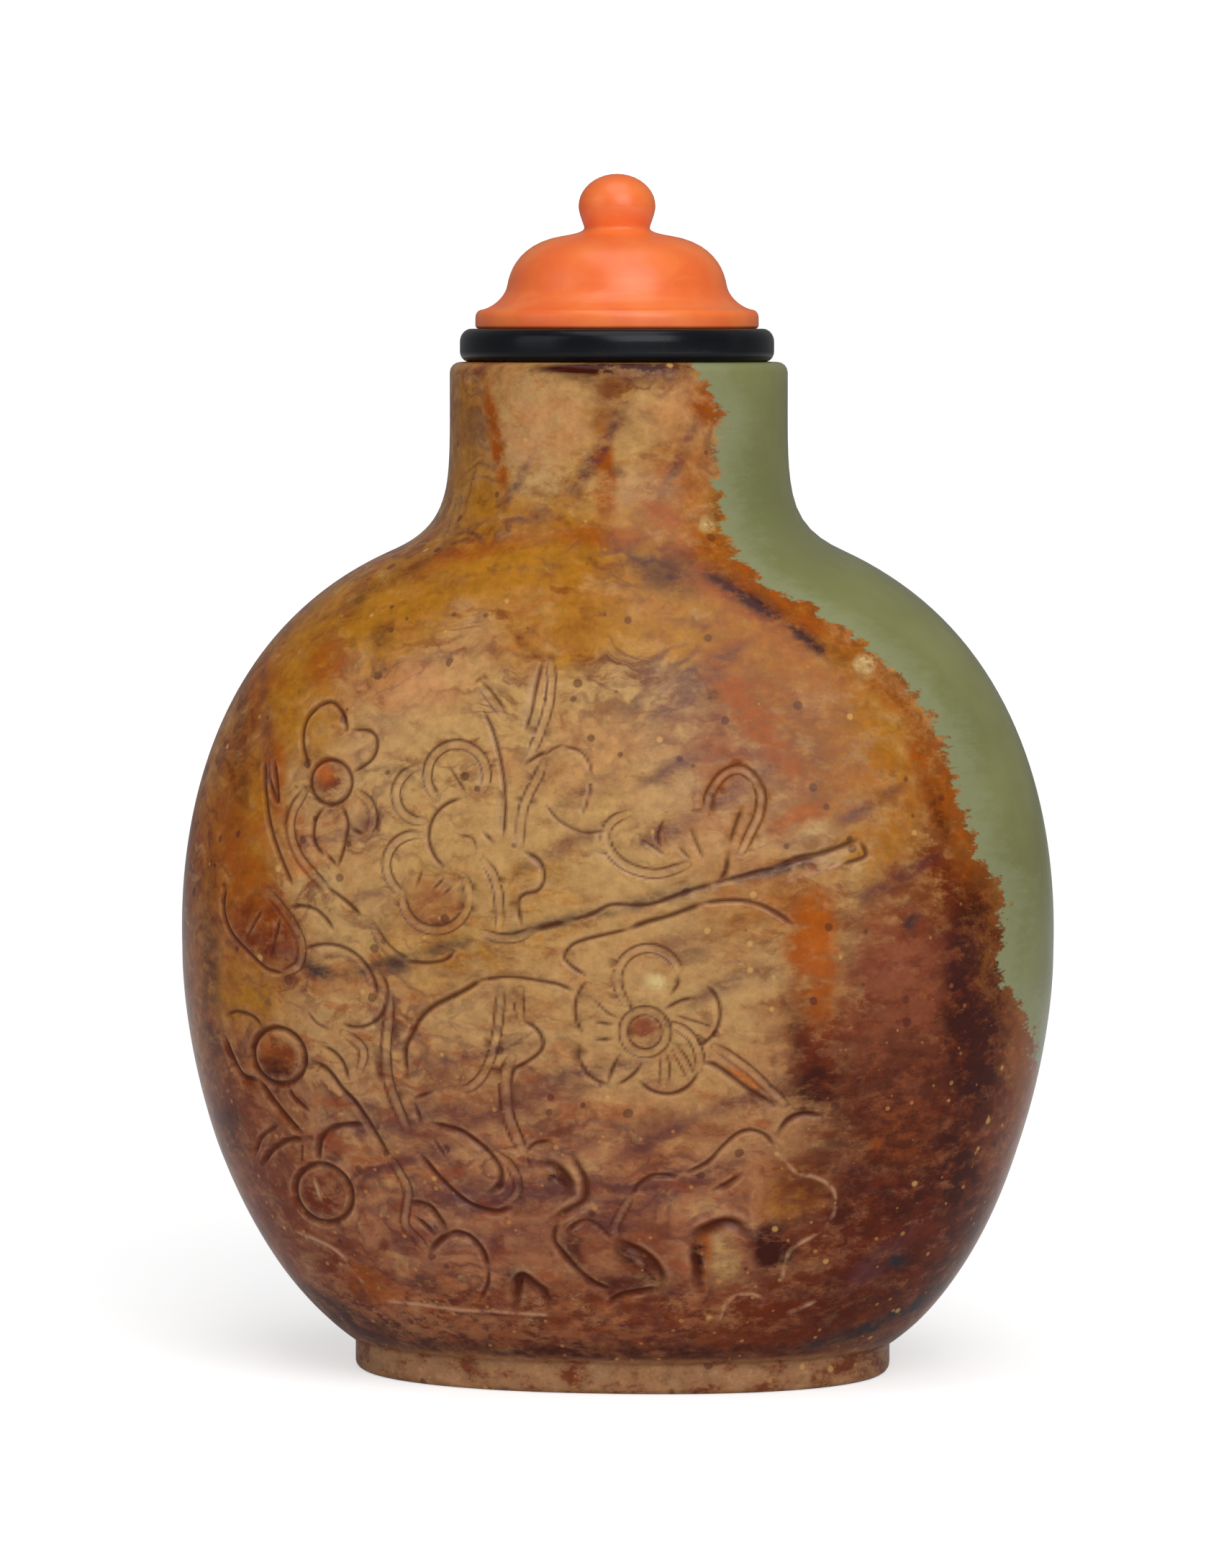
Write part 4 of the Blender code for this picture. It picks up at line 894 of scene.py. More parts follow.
def fade(tree, value, start, end, low=0.0, high=1.0):
    """Smooth change from low to high as the value goes from start to end"""
    inputs = {"Value": value, "From Min": start, "From Max": end, "To Min": low, "To Max": high}
    return add_node(tree, "ShaderNodeMapRange", inputs, interpolation_type="SMOOTHSTEP").outputs["Result"]


def blend_colours(tree, share, first, second, mode="MIX"):
    """Colour between two colours"""
    inputs = {0: share, 6: first, 7: second}
    return add_node(tree, "ShaderNodeMix", inputs, data_type="RGBA", blend_type=mode).outputs[2]


def noise(tree, vector, scale, detail=4.0, rough=0.55, distortion=0.0, output=0):
    """Output of a Noise Texture"""
    inputs = {"Vector": vector, "Scale": scale, "Detail": detail, "Roughness": rough}
    inputs["Distortion"] = distortion
    return add_node(tree, "ShaderNodeTexNoise", inputs).outputs[output]


def stretched(tree, vector, turn, scale, shift=(0.0, 0.0, 0.0)):
    """Coordinates turned about the Y axis by degrees, shifted and stretched"""
    turned = (0.0, math.radians(turn), 0.0)
    inputs = {"Vector": vector, "Location": shift, "Rotation": turned, "Scale": scale}
    return add_node(tree, "ShaderNodeMapping", inputs).outputs[0]


def mesh_value(tree, name):
    """A value that the mesh holds at its points"""
    return add_node(tree, "ShaderNodeAttribute", attribute_name=name).outputs["Fac"]


def shader_group(name, inputs, outputs):
    """New shader node group and its input and output nodes"""
    tree = bpy.data.node_groups.new(name, "ShaderNodeTree")
    for label, kind, default in inputs:
        socket = tree.interface.new_socket(label, in_out="INPUT", socket_type=kind)
        if default is not None:
            socket.default_value = default
    for label, kind in outputs:
        tree.interface.new_socket(label, in_out="OUTPUT", socket_type=kind)
    return tree, tree.nodes.new("NodeGroupInput").outputs, tree.nodes.new("NodeGroupOutput").inputs


def use_group(tree, name, make, inputs):
    """Outputs of a group placed in a tree, which is made the first time that it is asked for"""
    group = bpy.data.node_groups.get(name) or make(name)
    return add_node(tree, "ShaderNodeGroup", inputs, node_tree=group).outputs


def millimetres(tree):
    """Object coordinates in millimetres"""
    place = tree.nodes.new("ShaderNodeTexCoord").outputs["Object"]
    inputs = {"Vector": place, "Scale": (1000.0, 1000.0, 1000.0)}
    return add_node(tree, "ShaderNodeMapping", inputs).outputs[0]


# Effects that several materials share


def make_speck_group(name):
    """Scattered round specks: their size and how many of the cells hold one"""
    sockets = (
        ("Place", "NodeSocketVector", None), ("Scale", "NodeSocketFloat", 1.0),
        ("Size", "NodeSocketFloat", 0.2), ("Share", "NodeSocketFloat", 0.3),
    )
    tree, given, result = shader_group(name, sockets, (("Mask", "NodeSocketFloat"),))
    cells = add_node(tree, "ShaderNodeTexVoronoi", {"Vector": given["Place"], "Scale": given["Scale"]})
    random, chance, _ = add_node(tree, "ShaderNodeSeparateColor", {0: cells.outputs["Color"]}).outputs
    size = times(tree, given["Size"], maths(tree, "ADD", random, 0.4))
    inside = maths(tree, "SUBTRACT", size, cells.outputs["Distance"])
    kept = maths(tree, "LESS_THAN", chance, given["Share"])
    tree.links.new(times(tree, fade(tree, inside, -0.04, 0.06), kept), result["Mask"])
    return tree


def speck_mask(tree, place, scale, size, share):
    """Mask of scattered round specks"""
    inputs = {"Place": place, "Scale": scale, "Size": size, "Share": share}
    return use_group(tree, "Specks", make_speck_group, inputs)["Mask"]


def make_polish_group(name):
    """Uneven polish: roughness about a middle value and a fine height for a bump"""
    sockets = (
        ("Place", "NodeSocketVector", None), ("Roughness", "NodeSocketFloat", 0.3),
        ("Spread", "NodeSocketFloat", 0.06), ("Grain", "NodeSocketFloat", 3.0),
    )
    outputs = (("Roughness", "NodeSocketFloat"), ("Height", "NodeSocketFloat"))
    tree, given, result = shader_group(name, sockets, outputs)
    broad = noise(tree, given["Place"], 0.22, 3.0)
    fine = noise(tree, given["Place"], given["Grain"], 6.0, 0.62)
    both = maths(tree, "ADD", maths(tree, "SUBTRACT", broad, 0.5), maths(tree, "SUBTRACT", fine, 0.5))
    rough = maths(tree, "MULTIPLY_ADD", both, given["Spread"], given["Roughness"])
    tree.links.new(rough, result["Roughness"])
    tree.links.new(fine, result["Height"])
    return tree


def uneven_polish(tree, place, roughness, spread, grain):
    """Roughness and fine height of a polished surface"""
    inputs = {"Place": place, "Roughness": roughness, "Spread": spread, "Grain": grain}
    outputs = use_group(tree, "Uneven polish", make_polish_group, inputs)
    return outputs["Roughness"], outputs["Height"]


def new_material(name):
    """Material with its tree and shader"""
    look = bpy.data.materials.new(name)
    look.use_nodes = True
    return look, look.node_tree, look.node_tree.nodes["Principled BSDF"]


def set_surface(tree, shader, colour, rough, height, depth, strength):
    """Links a colour, a roughness and the bump of a height to the shader"""
    tree.links.new(colour, shader.inputs["Base Color"])
    tree.links.new(rough, shader.inputs["Roughness"])
    bump = add_node(tree, "ShaderNodeBump", {"Height": height, "Distance": depth, "Strength": strength})
    tree.links.new(bump.outputs[0], shader.inputs["Normal"])


def set_constants(shader, values):
    """Plain values on the shader's own sockets"""
    for name, value in values.items():
        shader.inputs[name].default_value = value


# Jade


def russet_ground(tree, warped, finish):
    """Base colour of the russet stone: light in the middle, warm above, darker below, and darker at the
    rim, partly the stone's russet and partly painted shade
    """
    across, _, up = separate(tree, warped)
    side = maths(tree, "ABSOLUTE", across)
    broad = noise(tree, warped, 0.075, 3.0, 0.5)
    warm = maths(tree, "ADD", broad, fade(tree, up, 37.0, 45.0, -0.10, 0.07))
    colour = blend_colours(tree, fade(tree, warm, 0.44, 0.60), tuple(finish.beige), tuple(finish.gold))
    blush = noise(tree, stretched(tree, warped, 30.0, (0.10, 0.2, 0.26), (3.0, 8.0, 2.0)), 1.0, 3.0)
    for share, name in (
        (fade(tree, blush, 0.46, 0.66, 0.0, 0.55), "blush"),
        (fade(tree, side, 15.0, 21.0, 0.0, 0.70), "warm side"),
        (fade(tree, up, 26.0, 9.0, 0.0, 0.80), "lower part"),
        # Painted shade at both rims, where the sides turn away, laid as russet that is partly the stone's
        # own
        (fade(tree, side, 22.6, 24.6, 0.0, 0.70), "russet"),
    ):
        colour = blend_colours(tree, share, colour, COLOURS[name])
    shifted = stretched(tree, warped, 0.0, (1.0, 1.0, 1.0), (31.0, 9.0, 4.0))
    rusty = fade(tree, noise(tree, shifted, 0.20, 8.0, 0.70, 0.4), 0.50, 0.62)
    patches = times(tree, rusty, fade(tree, side, 11.0, 20.0, 0.15, 0.75))
    return blend_colours(tree, patches, colour, COLOURS["rust"])


def veins(tree, colour, warped):
    """Soft lilac-brown veins that rise to the right, and fine mottling"""
    for scale, width, strength, shift in ((0.12, 0.060, 0.65, 7.0), (0.26, 0.070, 0.55, 19.0)):
        inputs = stretched(tree, warped, 32.0, (scale, scale * 1.6, scale * 2.2), (shift, 3.0, 1.0))
        tangle = noise(tree, inputs, 1.0, 2.5, 0.48, 0.5)
        vein = maths(tree, "ABSOLUTE", maths(tree, "SUBTRACT", tangle, 0.5))
        gate = fade(tree, noise(tree, warped, scale * 0.9, 2.0), 0.40, 0.62)
        share = times(tree, fade(tree, vein, width, 0.0, 0.0, strength), gate)
        colour = blend_colours(tree, share, colour, COLOURS["purple"])
    mottle = noise(tree, stretched(tree, warped, 24.0, (0.45, 0.7, 0.95)), 1.0, 7.0, 0.62)
    colour = blend_colours(tree, fade(tree, mottle, 0.50, 0.68, 0.0, 0.70), colour, COLOURS["russet"])
    pale = fade(tree, mottle, 0.48, 0.32, 0.0, 0.45)
    return blend_colours(tree, pale, colour, COLOURS["pale mottling"])


def grainy_base(tree, colour, place, up):
    """Dark and light grains just above the foot, a band of painted shade on the underside above the foot,
    and orange mottles in the lower half
    """
    base = times(tree, fade(tree, up, 8.5, 5.0), fade(tree, up, 1.6, 2.2))
    grain = noise(tree, stretched(tree, place, 8.0, (0.7, 0.9, 1.3), (5.0, 2.0, 8.0)), 1.0, 7.0, 0.75)
    dark = times(tree, base, fade(tree, grain, 0.50, 0.60, 0.0, 0.75))
    colour = blend_colours(tree, dark, colour, COLOURS["umber"])
    light = times(tree, base, fade(tree, grain, 0.49, 0.38, 0.0, 0.85))
    colour = blend_colours(tree, light, colour, COLOURS["base grain"])
    # Painted shade on the body's underside just above the foot
    under = times(tree, fade(tree, up, 4.6, 3.0), fade(tree, up, 1.6, 2.2))
    colour = blend_colours(tree, times(tree, under, 0.35), colour, COLOURS["umber"])
    embers = noise(tree, stretched(tree, place, 26.0, (0.42, 0.7, 1.0), (12.0, 4.0, 7.0)), 1.0, 6.0, 0.68)
    glow = times(tree, fade(tree, embers, 0.52, 0.64, 0.0, 0.55), fade(tree, up, 34.0, 20.0, 0.35, 1.0))
    return blend_colours(tree, glow, colour, COLOURS["ember"])


def cloud_layers(tree, colour, place):
    """Lays the clouds of colour over the ground, each of them grainy and thin at its edge"""
    front = fade(tree, separate(tree, place)[1], -0.3, -4.0)
    for number, (name, _) in enumerate(CLOUDS):
        shift = (number * 5.3, 0.0, number * 3.1)
        grain = noise(tree, stretched(tree, place, 24.0, (0.55, 0.8, 1.1), shift), 1.0, 7.0, 0.72)
        field = times(tree, mesh_value(tree, name), front)
        share = times(tree, field, fade(tree, grain, 0.38, 0.58, 0.42, 1.40), clamp=True)
        colour = blend_colours(tree, share, colour, COLOURS[name])
    return colour


def marked_foot(tree, colour, place, up):
    """Pale foot ring with russet and cream marks"""
    marks = noise(tree, stretched(tree, place, 0.0, (0.45, 0.45, 0.7)), 1.0, 7.0, 0.72)
    foot = blend_colours(tree, fade(tree, marks, 0.48, 0.62, 0.0, 0.9), COLOURS["foot"], COLOURS["russet"])
    foot = blend_colours(tree, fade(tree, marks, 0.46, 0.34), foot, COLOURS["foot marks"])
    return blend_colours(tree, fade(tree, up, 2.3, 1.7, 0.0, 0.85), colour, foot)


def green_side(tree, place):
    """Masks of the green stone, of the golden-brown rim beside it and of the green's paler edge, a painted
    reflection
    """
    across, depth, up = separate(tree, place)
    share_up = maths(tree, "DIVIDE", up, LIP_HEIGHT * 1000)
    border = add_node(tree, "ShaderNodeFloatCurve", {"Value": share_up})
    points = border.mapping.curves[0].points
    points[0].location, points[-1].location = GREEN_BORDER[0], GREEN_BORDER[-1]
    for place_on_curve in GREEN_BORDER[1:-1]:
        points.new(*place_on_curve)
    border.mapping.update()
    half = times(tree, border.outputs[0], BODY_WIDTH * 500)
    past = maths(tree, "SUBTRACT", across, half)
    behind = fade(tree, depth, 0.0, 12.0, 0.0, 9.0)
    ragged = noise(tree, stretched(tree, place, 12.0, (0.6, 0.7, 1.7)), 1.0, 8.0, 0.74)
    ragged = maths(tree, "SUBTRACT", ragged, 0.5)
    grain = maths(tree, "SUBTRACT", noise(tree, place, 1.4, 4.0, 0.8), 0.5)
    past = maths(tree, "ADD", past, times(tree, ragged, 4.2))
    past = maths(tree, "ADD", past, behind)
    rim = fade(tree, maths(tree, "ADD", past, times(tree, grain, 3.0)), -2.2, -0.2)
    rim = times(tree, rim, fade(tree, up, 50.0, 46.0, 0.25, 1.0))
    return fade(tree, past, -0.12, 0.20), rim, fade(tree, past, 0.2, 2.4, 0.55, 0.0)


def speckled(tree, colour, place, up, finish):
    """Pale, golden and dark specks in the russet stone"""
    lower = fade(tree, up, 27.0, 16.0, 0.10, 0.60)
    for scale, size, share, strength, paint in (
        (0.80, 0.12, 0.28, 0.65, tuple(finish.speck)),
        (1.5, 0.17, 0.30, lower, COLOURS["golden speck"]),
        (1.0, 0.22, 0.15, 0.60, COLOURS["dark fleck"]),
    ):
        mask = times(tree, speck_mask(tree, place, scale, size, share), strength)
        colour = blend_colours(tree, mask, colour, paint)
    return colour


def green_layer(tree, colour, place, fine, finish):
    """Lays the green stone and its golden-brown rim over the russet stone"""
    green, rim, edge = green_side(tree, place)
    broken = fade(tree, fine, 0.40, 0.58, 0.80, 0.15)
    colour = blend_colours(tree, times(tree, rim, broken), colour, COLOURS["rim"])
    cloudy = fade(tree, noise(tree, place, 0.12, 4.0), 0.35, 0.65)
    celadon = blend_colours(tree, cloudy, tuple(finish.green), COLOURS["deeper green"])
    # Painted reflection: paler green along the green's border
    celadon = blend_colours(tree, edge, celadon, COLOURS["paler green"])
    return blend_colours(tree, green, colour, celadon)


def stained_and_shaded_strokes(tree, colour, place, stroke, finish):
    """Brown stain with painted shade in the carved strokes, and pale ridges and stroke edges with cream and
    painted highlights, broken in places
    """
    # Brown stain with painted shade in the grooves
    colour = blend_colours(tree, times(tree, stroke, 0.92), colour, tuple(finish.groove_stain_and_shade))
    # Painted highlights on the ridges and beside the cuts, with cream on the ridges, broken in places
    broken = fade(tree, noise(tree, place, 0.9, 3.0), 0.38, 0.60)
    cream_and_glint = times(tree, times(tree, mesh_value(tree, "ridge"), broken), 0.75)
    return blend_colours(tree, cream_and_glint, colour, COLOURS["worn ridge"])


def make_jade(finish):
    """Russet jade with a green side, its veins, specks and stained strokes"""
    look, tree, shader = new_material("russet and green jade")
    place = millimetres(tree)
    up = separate(tree, place)[2]
    drift = noise(tree, place, 0.35, 4.0, 0.5, output="Color")
    drift = vector_maths(tree, "SUBTRACT", drift, (0.5, 0.5, 0.5))
    warped = vector_maths(tree, "ADD", place, vector_maths(tree, "MULTIPLY", drift, (3.0, 3.0, 3.0)))
    nearly = vector_maths(tree, "ADD", place, vector_maths(tree, "MULTIPLY", drift, (0.4, 0.4, 0.4)))
    fine = noise(tree, place, 1.5, 5.0, 0.7)
    stroke = mesh_value(tree, "stroke")

    colour = veins(tree, russet_ground(tree, warped, finish), warped)
    colour = cloud_layers(tree, grainy_base(tree, colour, place, up), place)
    colour = marked_foot(tree, colour, place, up)
    colour = blend_colours(tree, 0.36, colour, fade(tree, fine, 0.30, 0.70, 0.30, 0.70), "OVERLAY")
    colour = speckled(tree, colour, nearly, up, finish)
    colour = green_layer(tree, colour, place, fine, finish)
    colour = stained_and_shaded_strokes(tree, colour, place, stroke, finish)
    rough, height = uneven_polish(tree, place, finish.roughness, 0.10, 2.4)
    rough = maths(tree, "MULTIPLY_ADD", stroke, 0.22, rough)
    set_surface(tree, shader, colour, rough, height, 0.00003, 0.5)
    set_constants(shader, {
        "IOR": 1.61, "Specular IOR Level": 0.13, "Subsurface Weight": 0.10, "Subsurface Scale": 0.0008,
        "Subsurface Radius": (1.0, 0.6, 0.35),
    })
    return look


# Stopper


def make_coral(finish):
    """Coral orange with faint growth bands and a soft gloss"""
    look, tree, shader = new_material("coral")
    place = millimetres(tree)
    clouded = fade(tree, noise(tree, place, 0.35, 5.0, 0.55, 0.3), 0.35, 0.68)
    colour = blend_colours(tree, clouded, tuple(finish.coral), COLOURS["deeper coral"])
    bands = noise(tree, stretched(tree, place, 12.0, (0.25, 0.25, 2.2)), 1.0, 4.0, 0.6)
    colour = blend_colours(tree, fade(tree, bands, 0.52, 0.75, 0.0, 0.35), colour, COLOURS["coral band"])
    dots = times(tree, speck_mask(tree, place, 1.6, 0.12, 0.18), 0.20)
    colour = blend_colours(tree, dots, colour, COLOURS["coral dot"])
    rough, height = uneven_polish(tree, place, 0.36, 0.08, 3.5)
    set_surface(tree, shader, colour, rough, height, 0.00002, 0.4)
    set_constants(shader, {
        "IOR": 1.5, "Subsurface Weight": 0.15, "Subsurface Scale": 0.0008,
        "Subsurface Radius": (1.0, 0.35, 0.2), "Coat Weight": 0.12, "Coat Roughness": 0.22,
    })
    return look


def make_black(finish):
    """Polished black stone with a breath of brown and fine handling marks"""
    look, tree, shader = new_material("polished black")
    place = millimetres(tree)
    brown = fade(tree, noise(tree, place, 0.5, 5.0, 0.6), 0.5, 0.8)
    colour = blend_colours(tree, brown, tuple(finish.black), COLOURS["brownish black"])
    dust = times(tree, speck_mask(tree, place, 2.2, 0.08, 0.12), 0.20)
    colour = blend_colours(tree, dust, colour, COLOURS["dust"])
    rough, height = uneven_polish(tree, place, 0.24, 0.08, 4.0)
    set_surface(tree, shader, colour, rough, height, 0.00002, 0.35)
    set_constants(shader, {"IOR": 1.54, "Specular IOR Level": 0.20})
    return look


def make_cork_look(finish):
    """Cork with pores and darker growth lines"""
    look, tree, shader = new_material("cork")
    place = millimetres(tree)
    body = fade(tree, noise(tree, place, 0.9, 6.0, 0.65), 0.35, 0.7)
    colour = blend_colours(tree, body, tuple(finish.cork), COLOURS["darker cork"])
    pores = speck_mask(tree, place, 1.5, 0.24, 0.45)
    colour = blend_colours(tree, times(tree, pores, 0.7), colour, COLOURS["pore"])
    rough, height = uneven_polish(tree, place, 0.85, 0.12, 2.0)
    set_surface(tree, shader, colour, rough, maths(tree, "SUBTRACT", height, pores), 0.0001, 0.6)
    return look


def collar_profile():
    """(radius, height) points of the collar's half section"""
    foot, top, half = LIP_HEIGHT, CAP_LOW.z, COLLAR_HIGH.x
    across, high, steps = COLLAR_FOOT_EDGE
    edge = rounded(half, foot + high, foot, across, steps)[::-1]
    across, high, steps = COLLAR_TOP_EDGE
    edge += rounded(half, top - high, top, across, steps)
    return [(0.0, foot)] + edge + [(0.0, top)]


def cap_profile():
    """(radius, height) points of the cap's half section"""
    foot, half, tall = CAP_LOW.z, CAP_HIGH.x, CAP_HIGH.z - CAP_LOW.z
    ends = ((half - CAP_RIM_TOP_EDGE, CAP_RIM_HEIGHT), *CAP_ENDS, (0.0, tall))
    profile = outline(ends, CAP_HANDLES, CAP_CURVE_STEPS)
    rim = rounded(half, CAP_RIM_FOOT_EDGE, 0.0, CAP_RIM_FOOT_EDGE, CAP_RIM_FOOT_STEPS)[::-1]
    rim += rounded(half, CAP_RIM_STRAIGHT, CAP_RIM_HEIGHT, CAP_RIM_TOP_EDGE, CAP_RIM_TOP_STEPS)[:-1]
    return [(0.0, foot)] + [(size, foot + height) for size, height in (*rim, *map(tuple, profile))]


def cork_profile():
    """(radius, height) points of the cork's half section"""
    foot, top, half = CORK_LOW.z, CORK_HIGH.z, CORK_HIGH.x
    tip, start = half - CORK_TAPER, foot + CORK_ROUND
    edge = rounded(tip, start, foot, CORK_ROUND)[::-1]
    sides = [(tip + (half - tip) * share, start + (top - start) * share) for share in (0.33, 0.66, 1.0)]
    return [(0.0, foot)] + edge + sides + [(0.0, top)]


# Settings


def colour_setting(name, description):
    """Colour property that starts as the colour of that name"""
    return bpy.props.FloatVectorProperty(
        name=name.capitalize(), description=description, subtype="COLOR", size=3, min=0.0, max=1.0,
        default=COLOURS[name])


class SnuffBottleFinish(bpy.types.PropertyGroup):
    """Colours and polish of the bottle and its stopper"""

    beige: colour_setting("beige", "Lightest part of the russet stone")
    gold: colour_setting("gold", "Warm part of the russet stone")
    speck: colour_setting("pale speck", "Pale specks in the stone")
    green: colour_setting("green", "Celadon side of the stone")
    # Brown stain with painted shade in the carved strokes
    groove_stain_and_shade: colour_setting("groove_stain_and_shade", "Brown in the carved strokes")
    coral: colour_setting("coral", "Colour of the cap")
    black: colour_setting("black", "Colour of the collar")
    cork: colour_setting("cork", "Colour of the plug")
    roughness: bpy.props.FloatProperty(
        name="Roughness", description="Polish of the jade", subtype="FACTOR", min=0.0, max=1.0,
        default=0.17)


class SnuffBottleStudio(bpy.types.PropertyGroup):
    """Camera and light"""

    distance: bpy.props.FloatProperty(
        name="Distance", description="Camera to the bottle's axis", unit="LENGTH", default=0.330, min=0.1)
    height: bpy.props.FloatProperty(
        name="Height", description="Camera above the floor", unit="LENGTH", default=0.059, min=0.0)
    turn: bpy.props.FloatProperty(
        name="Turn", description="How far the camera stands to the right of the front", subtype="ANGLE",
        default=math.radians(5.0))
    tilt: bpy.props.FloatProperty(
        name="Tilt", description="How far the camera looks down", subtype="ANGLE",
        default=math.radians(4.5))
    lens: bpy.props.FloatProperty(
        name="Lens", description="Focal length on a 36 mm high frame", default=134.5, min=10.0)
    key: bpy.props.FloatProperty(
        name="Key light", description="Power of the large softboxes", unit="POWER", default=1.95, min=0.0)


# Operators


class SNUFFBOTTLE_OT_bottle(bpy.types.Operator):
    """Models the carved jade bottle"""

    bl_idname = "snuffbottle.bottle"
    bl_label = "Jade Bottle"

    def execute(self, context):
        mesh, rows = carved_wall()
        look = make_jade(context.scene.snuff_bottle_finish)
        piece = finished("carved_bottle", mesh, "bottle", look)
        carve_bottle(piece, rows)
        return {"FINISHED"}


class SNUFFBOTTLE_OT_collar(bpy.types.Operator):
    """Models the black collar"""

    bl_idname = "snuffbottle.collar"
    bl_label = "Black Collar"

    def execute(self, context):
        look = make_black(context.scene.snuff_bottle_finish)
        finished("black_collar", spun_mesh(collar_profile(), TURNED_STEPS), "collar", look)
        return {"FINISHED"}


class SNUFFBOTTLE_OT_cap(bpy.types.Operator):
    """Models the coral cap with its knob"""

    bl_idname = "snuffbottle.cap"
    bl_label = "Coral Cap"

    def execute(self, context):
        look = make_coral(context.scene.snuff_bottle_finish)
        finished("coral_cap", spun_mesh(cap_profile(), TURNED_STEPS), "stopper_cap", look)
        return {"FINISHED"}


class SNUFFBOTTLE_OT_cork(bpy.types.Operator):
    """Models the cork plug"""

    bl_idname = "snuffbottle.cork"
    bl_label = "Cork"

    def execute(self, context):
        look = make_cork_look(context.scene.snuff_bottle_finish)
        finished("cork_plug", spun_mesh(cork_profile(), CORK_STEPS), "stopper_cork", look)
        return {"FINISHED"}


def add_softbox(name, place, width, height, power):
    """Area light that faces the middle of the bottle"""
    light = bpy.data.lights.new(name, "AREA")
    light.shape = "RECTANGLE"
    light.size = width
    light.size_y = height
    light.energy = power
    lamp = bpy.data.objects.new(name, light)
    lamp.location = place
    towards = Vector((0.0, 0.0, LIP_HEIGHT / 2)) - Vector(place)
    lamp.rotation_euler = towards.to_track_quat("-Z", "Y").to_euler()
    bpy.context.scene.collection.objects.link(lamp)
    return lamp


def make_floor():
    """Plain pale floor that fades into the background"""
    mesh = bmesh.new()
    bmesh.ops.create_circle(mesh, cap_ends=True, segments=STUDIO_FLOOR_STEPS, radius=STUDIO_FLOOR_RADIUS)
    data = bpy.data.meshes.new("floor")
    mesh.to_mesh(data)
    mesh.free()
    floor = bpy.data.objects.new("floor", data)
    bpy.context.scene.collection.objects.link(floor)
    look, tree, shader = new_material("pale floor")
    set_constants(shader, {
        "Base Color": (0.80, 0.80, 0.80, 1.0), "Roughness": 0.9, "Specular IOR Level": 0.0,
        "Emission Color": (1.0, 1.0, 1.0, 1.0),
    })
    seen = tree.nodes.new("ShaderNodeLightPath").outputs["Is Camera Ray"]
    place = tree.nodes.new("ShaderNodeTexCoord").outputs["Object"]
    away = add_node(tree, "ShaderNodeVectorMath", {0: place}, operation="LENGTH").outputs["Value"]
    lift = fade(tree, away, 0.08, 0.60, 0.56, 0.95)
    tree.links.new(times(tree, seen, lift), shader.inputs["Emission Strength"])
    data.materials.append(look)


def make_world():
    """White background, with a softer light of the same white round the bottle"""
    world = bpy.data.worlds.new("studio")
    bpy.context.scene.world = world
    world.use_nodes = True
    tree = world.node_tree
    background = tree.nodes["Background"]
    seen = tree.nodes.new("ShaderNodeLightPath").outputs["Is Camera Ray"]
    strength = fade(tree, seen, 0.0, 1.0, 0.20, 1.2)
    background.inputs["Color"].default_value = (1.0, 1.0, 1.0, 1.0)
    tree.links.new(strength, background.inputs["Strength"])


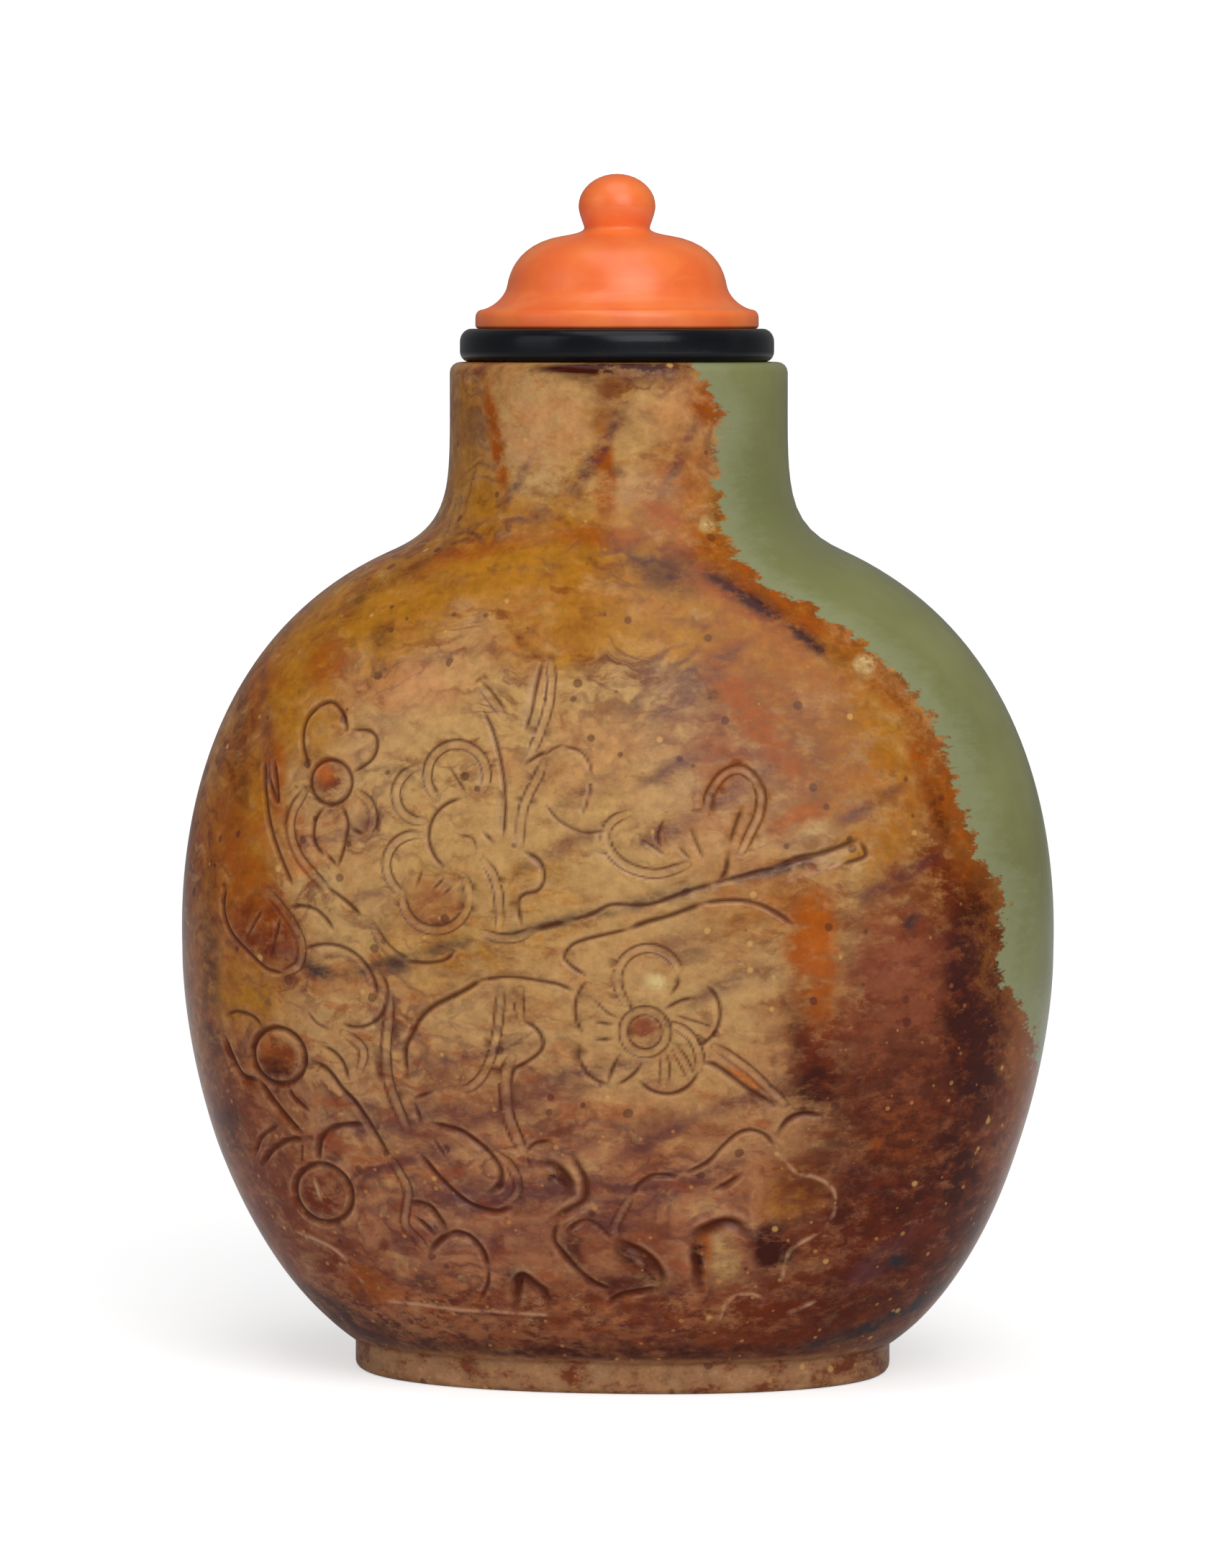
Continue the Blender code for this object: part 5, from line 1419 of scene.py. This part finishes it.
class SNUFFBOTTLE_OT_studio(bpy.types.Operator):
    """Sets the floor, the softboxes and the camera"""

    bl_idname = "snuffbottle.studio"
    bl_label = "Studio"

    def execute(self, context):
        studio = context.scene.snuff_bottle_studio
        make_floor()
        make_world()
        for *box, share in SOFTBOXES:
            add_softbox(*box, studio.key * share)
        *box, share = CARD
        card = add_softbox(*box, studio.key * share)
        card.data.shape = "ELLIPSE"
        card.rotation_euler = (math.radians(180), 0.0, math.radians(CARD_TURN))
        card.visible_camera = card.visible_diffuse = False
        lens = bpy.data.cameras.new("camera")
        lens.sensor_fit = "VERTICAL"
        lens.sensor_height = SENSOR_HEIGHT
        lens.lens = studio.lens
        lens.clip_start = NEAREST_SEEN
        lens.shift_x, lens.shift_y = CAMERA_SHIFT
        camera = bpy.data.objects.new("camera", lens)
        across, back = studio.distance * math.sin(studio.turn), studio.distance * math.cos(studio.turn)
        camera.location = (across, -back, studio.height)
        camera.rotation_euler = (math.radians(90) - studio.tilt, 0.0, studio.turn)
        context.scene.collection.objects.link(camera)
        context.scene.camera = camera
        context.scene.view_settings.view_transform = "Standard"
        return {"FINISHED"}


OPERATORS = (
    SNUFFBOTTLE_OT_bottle,
    SNUFFBOTTLE_OT_collar,
    SNUFFBOTTLE_OT_cap,
    SNUFFBOTTLE_OT_cork,
    SNUFFBOTTLE_OT_studio,
)


class SNUFFBOTTLE_PT_panel(bpy.types.Panel):
    """Lists the bottle's pieces and settings"""

    bl_idname = "SNUFFBOTTLE_PT_panel"
    bl_label = "Snuff Bottle"
    bl_space_type = "VIEW_3D"
    bl_region_type = "UI"
    bl_category = "Snuff Bottle"

    def draw(self, context):
        for settings in (context.scene.snuff_bottle_finish, context.scene.snuff_bottle_studio):
            for name in settings.__annotations__:
                self.layout.prop(settings, name)
        for operator in OPERATORS:
            self.layout.operator(operator.bl_idname)


CLASSES = (SnuffBottleFinish, SnuffBottleStudio, *OPERATORS, SNUFFBOTTLE_PT_panel)


def register():
    for item in CLASSES:
        bpy.utils.register_class(item)
    bpy.types.Scene.snuff_bottle_finish = bpy.props.PointerProperty(type=SnuffBottleFinish)
    bpy.types.Scene.snuff_bottle_studio = bpy.props.PointerProperty(type=SnuffBottleStudio)


def unregister():
    del bpy.types.Scene.snuff_bottle_studio
    del bpy.types.Scene.snuff_bottle_finish
    for item in reversed(CLASSES):
        bpy.utils.unregister_class(item)


def main():
    register()
    bpy.ops.snuffbottle.bottle()
    bpy.ops.snuffbottle.collar()
    bpy.ops.snuffbottle.cap()
    bpy.ops.snuffbottle.cork()
    bpy.ops.snuffbottle.studio()


if __name__ == "__main__":
    main()
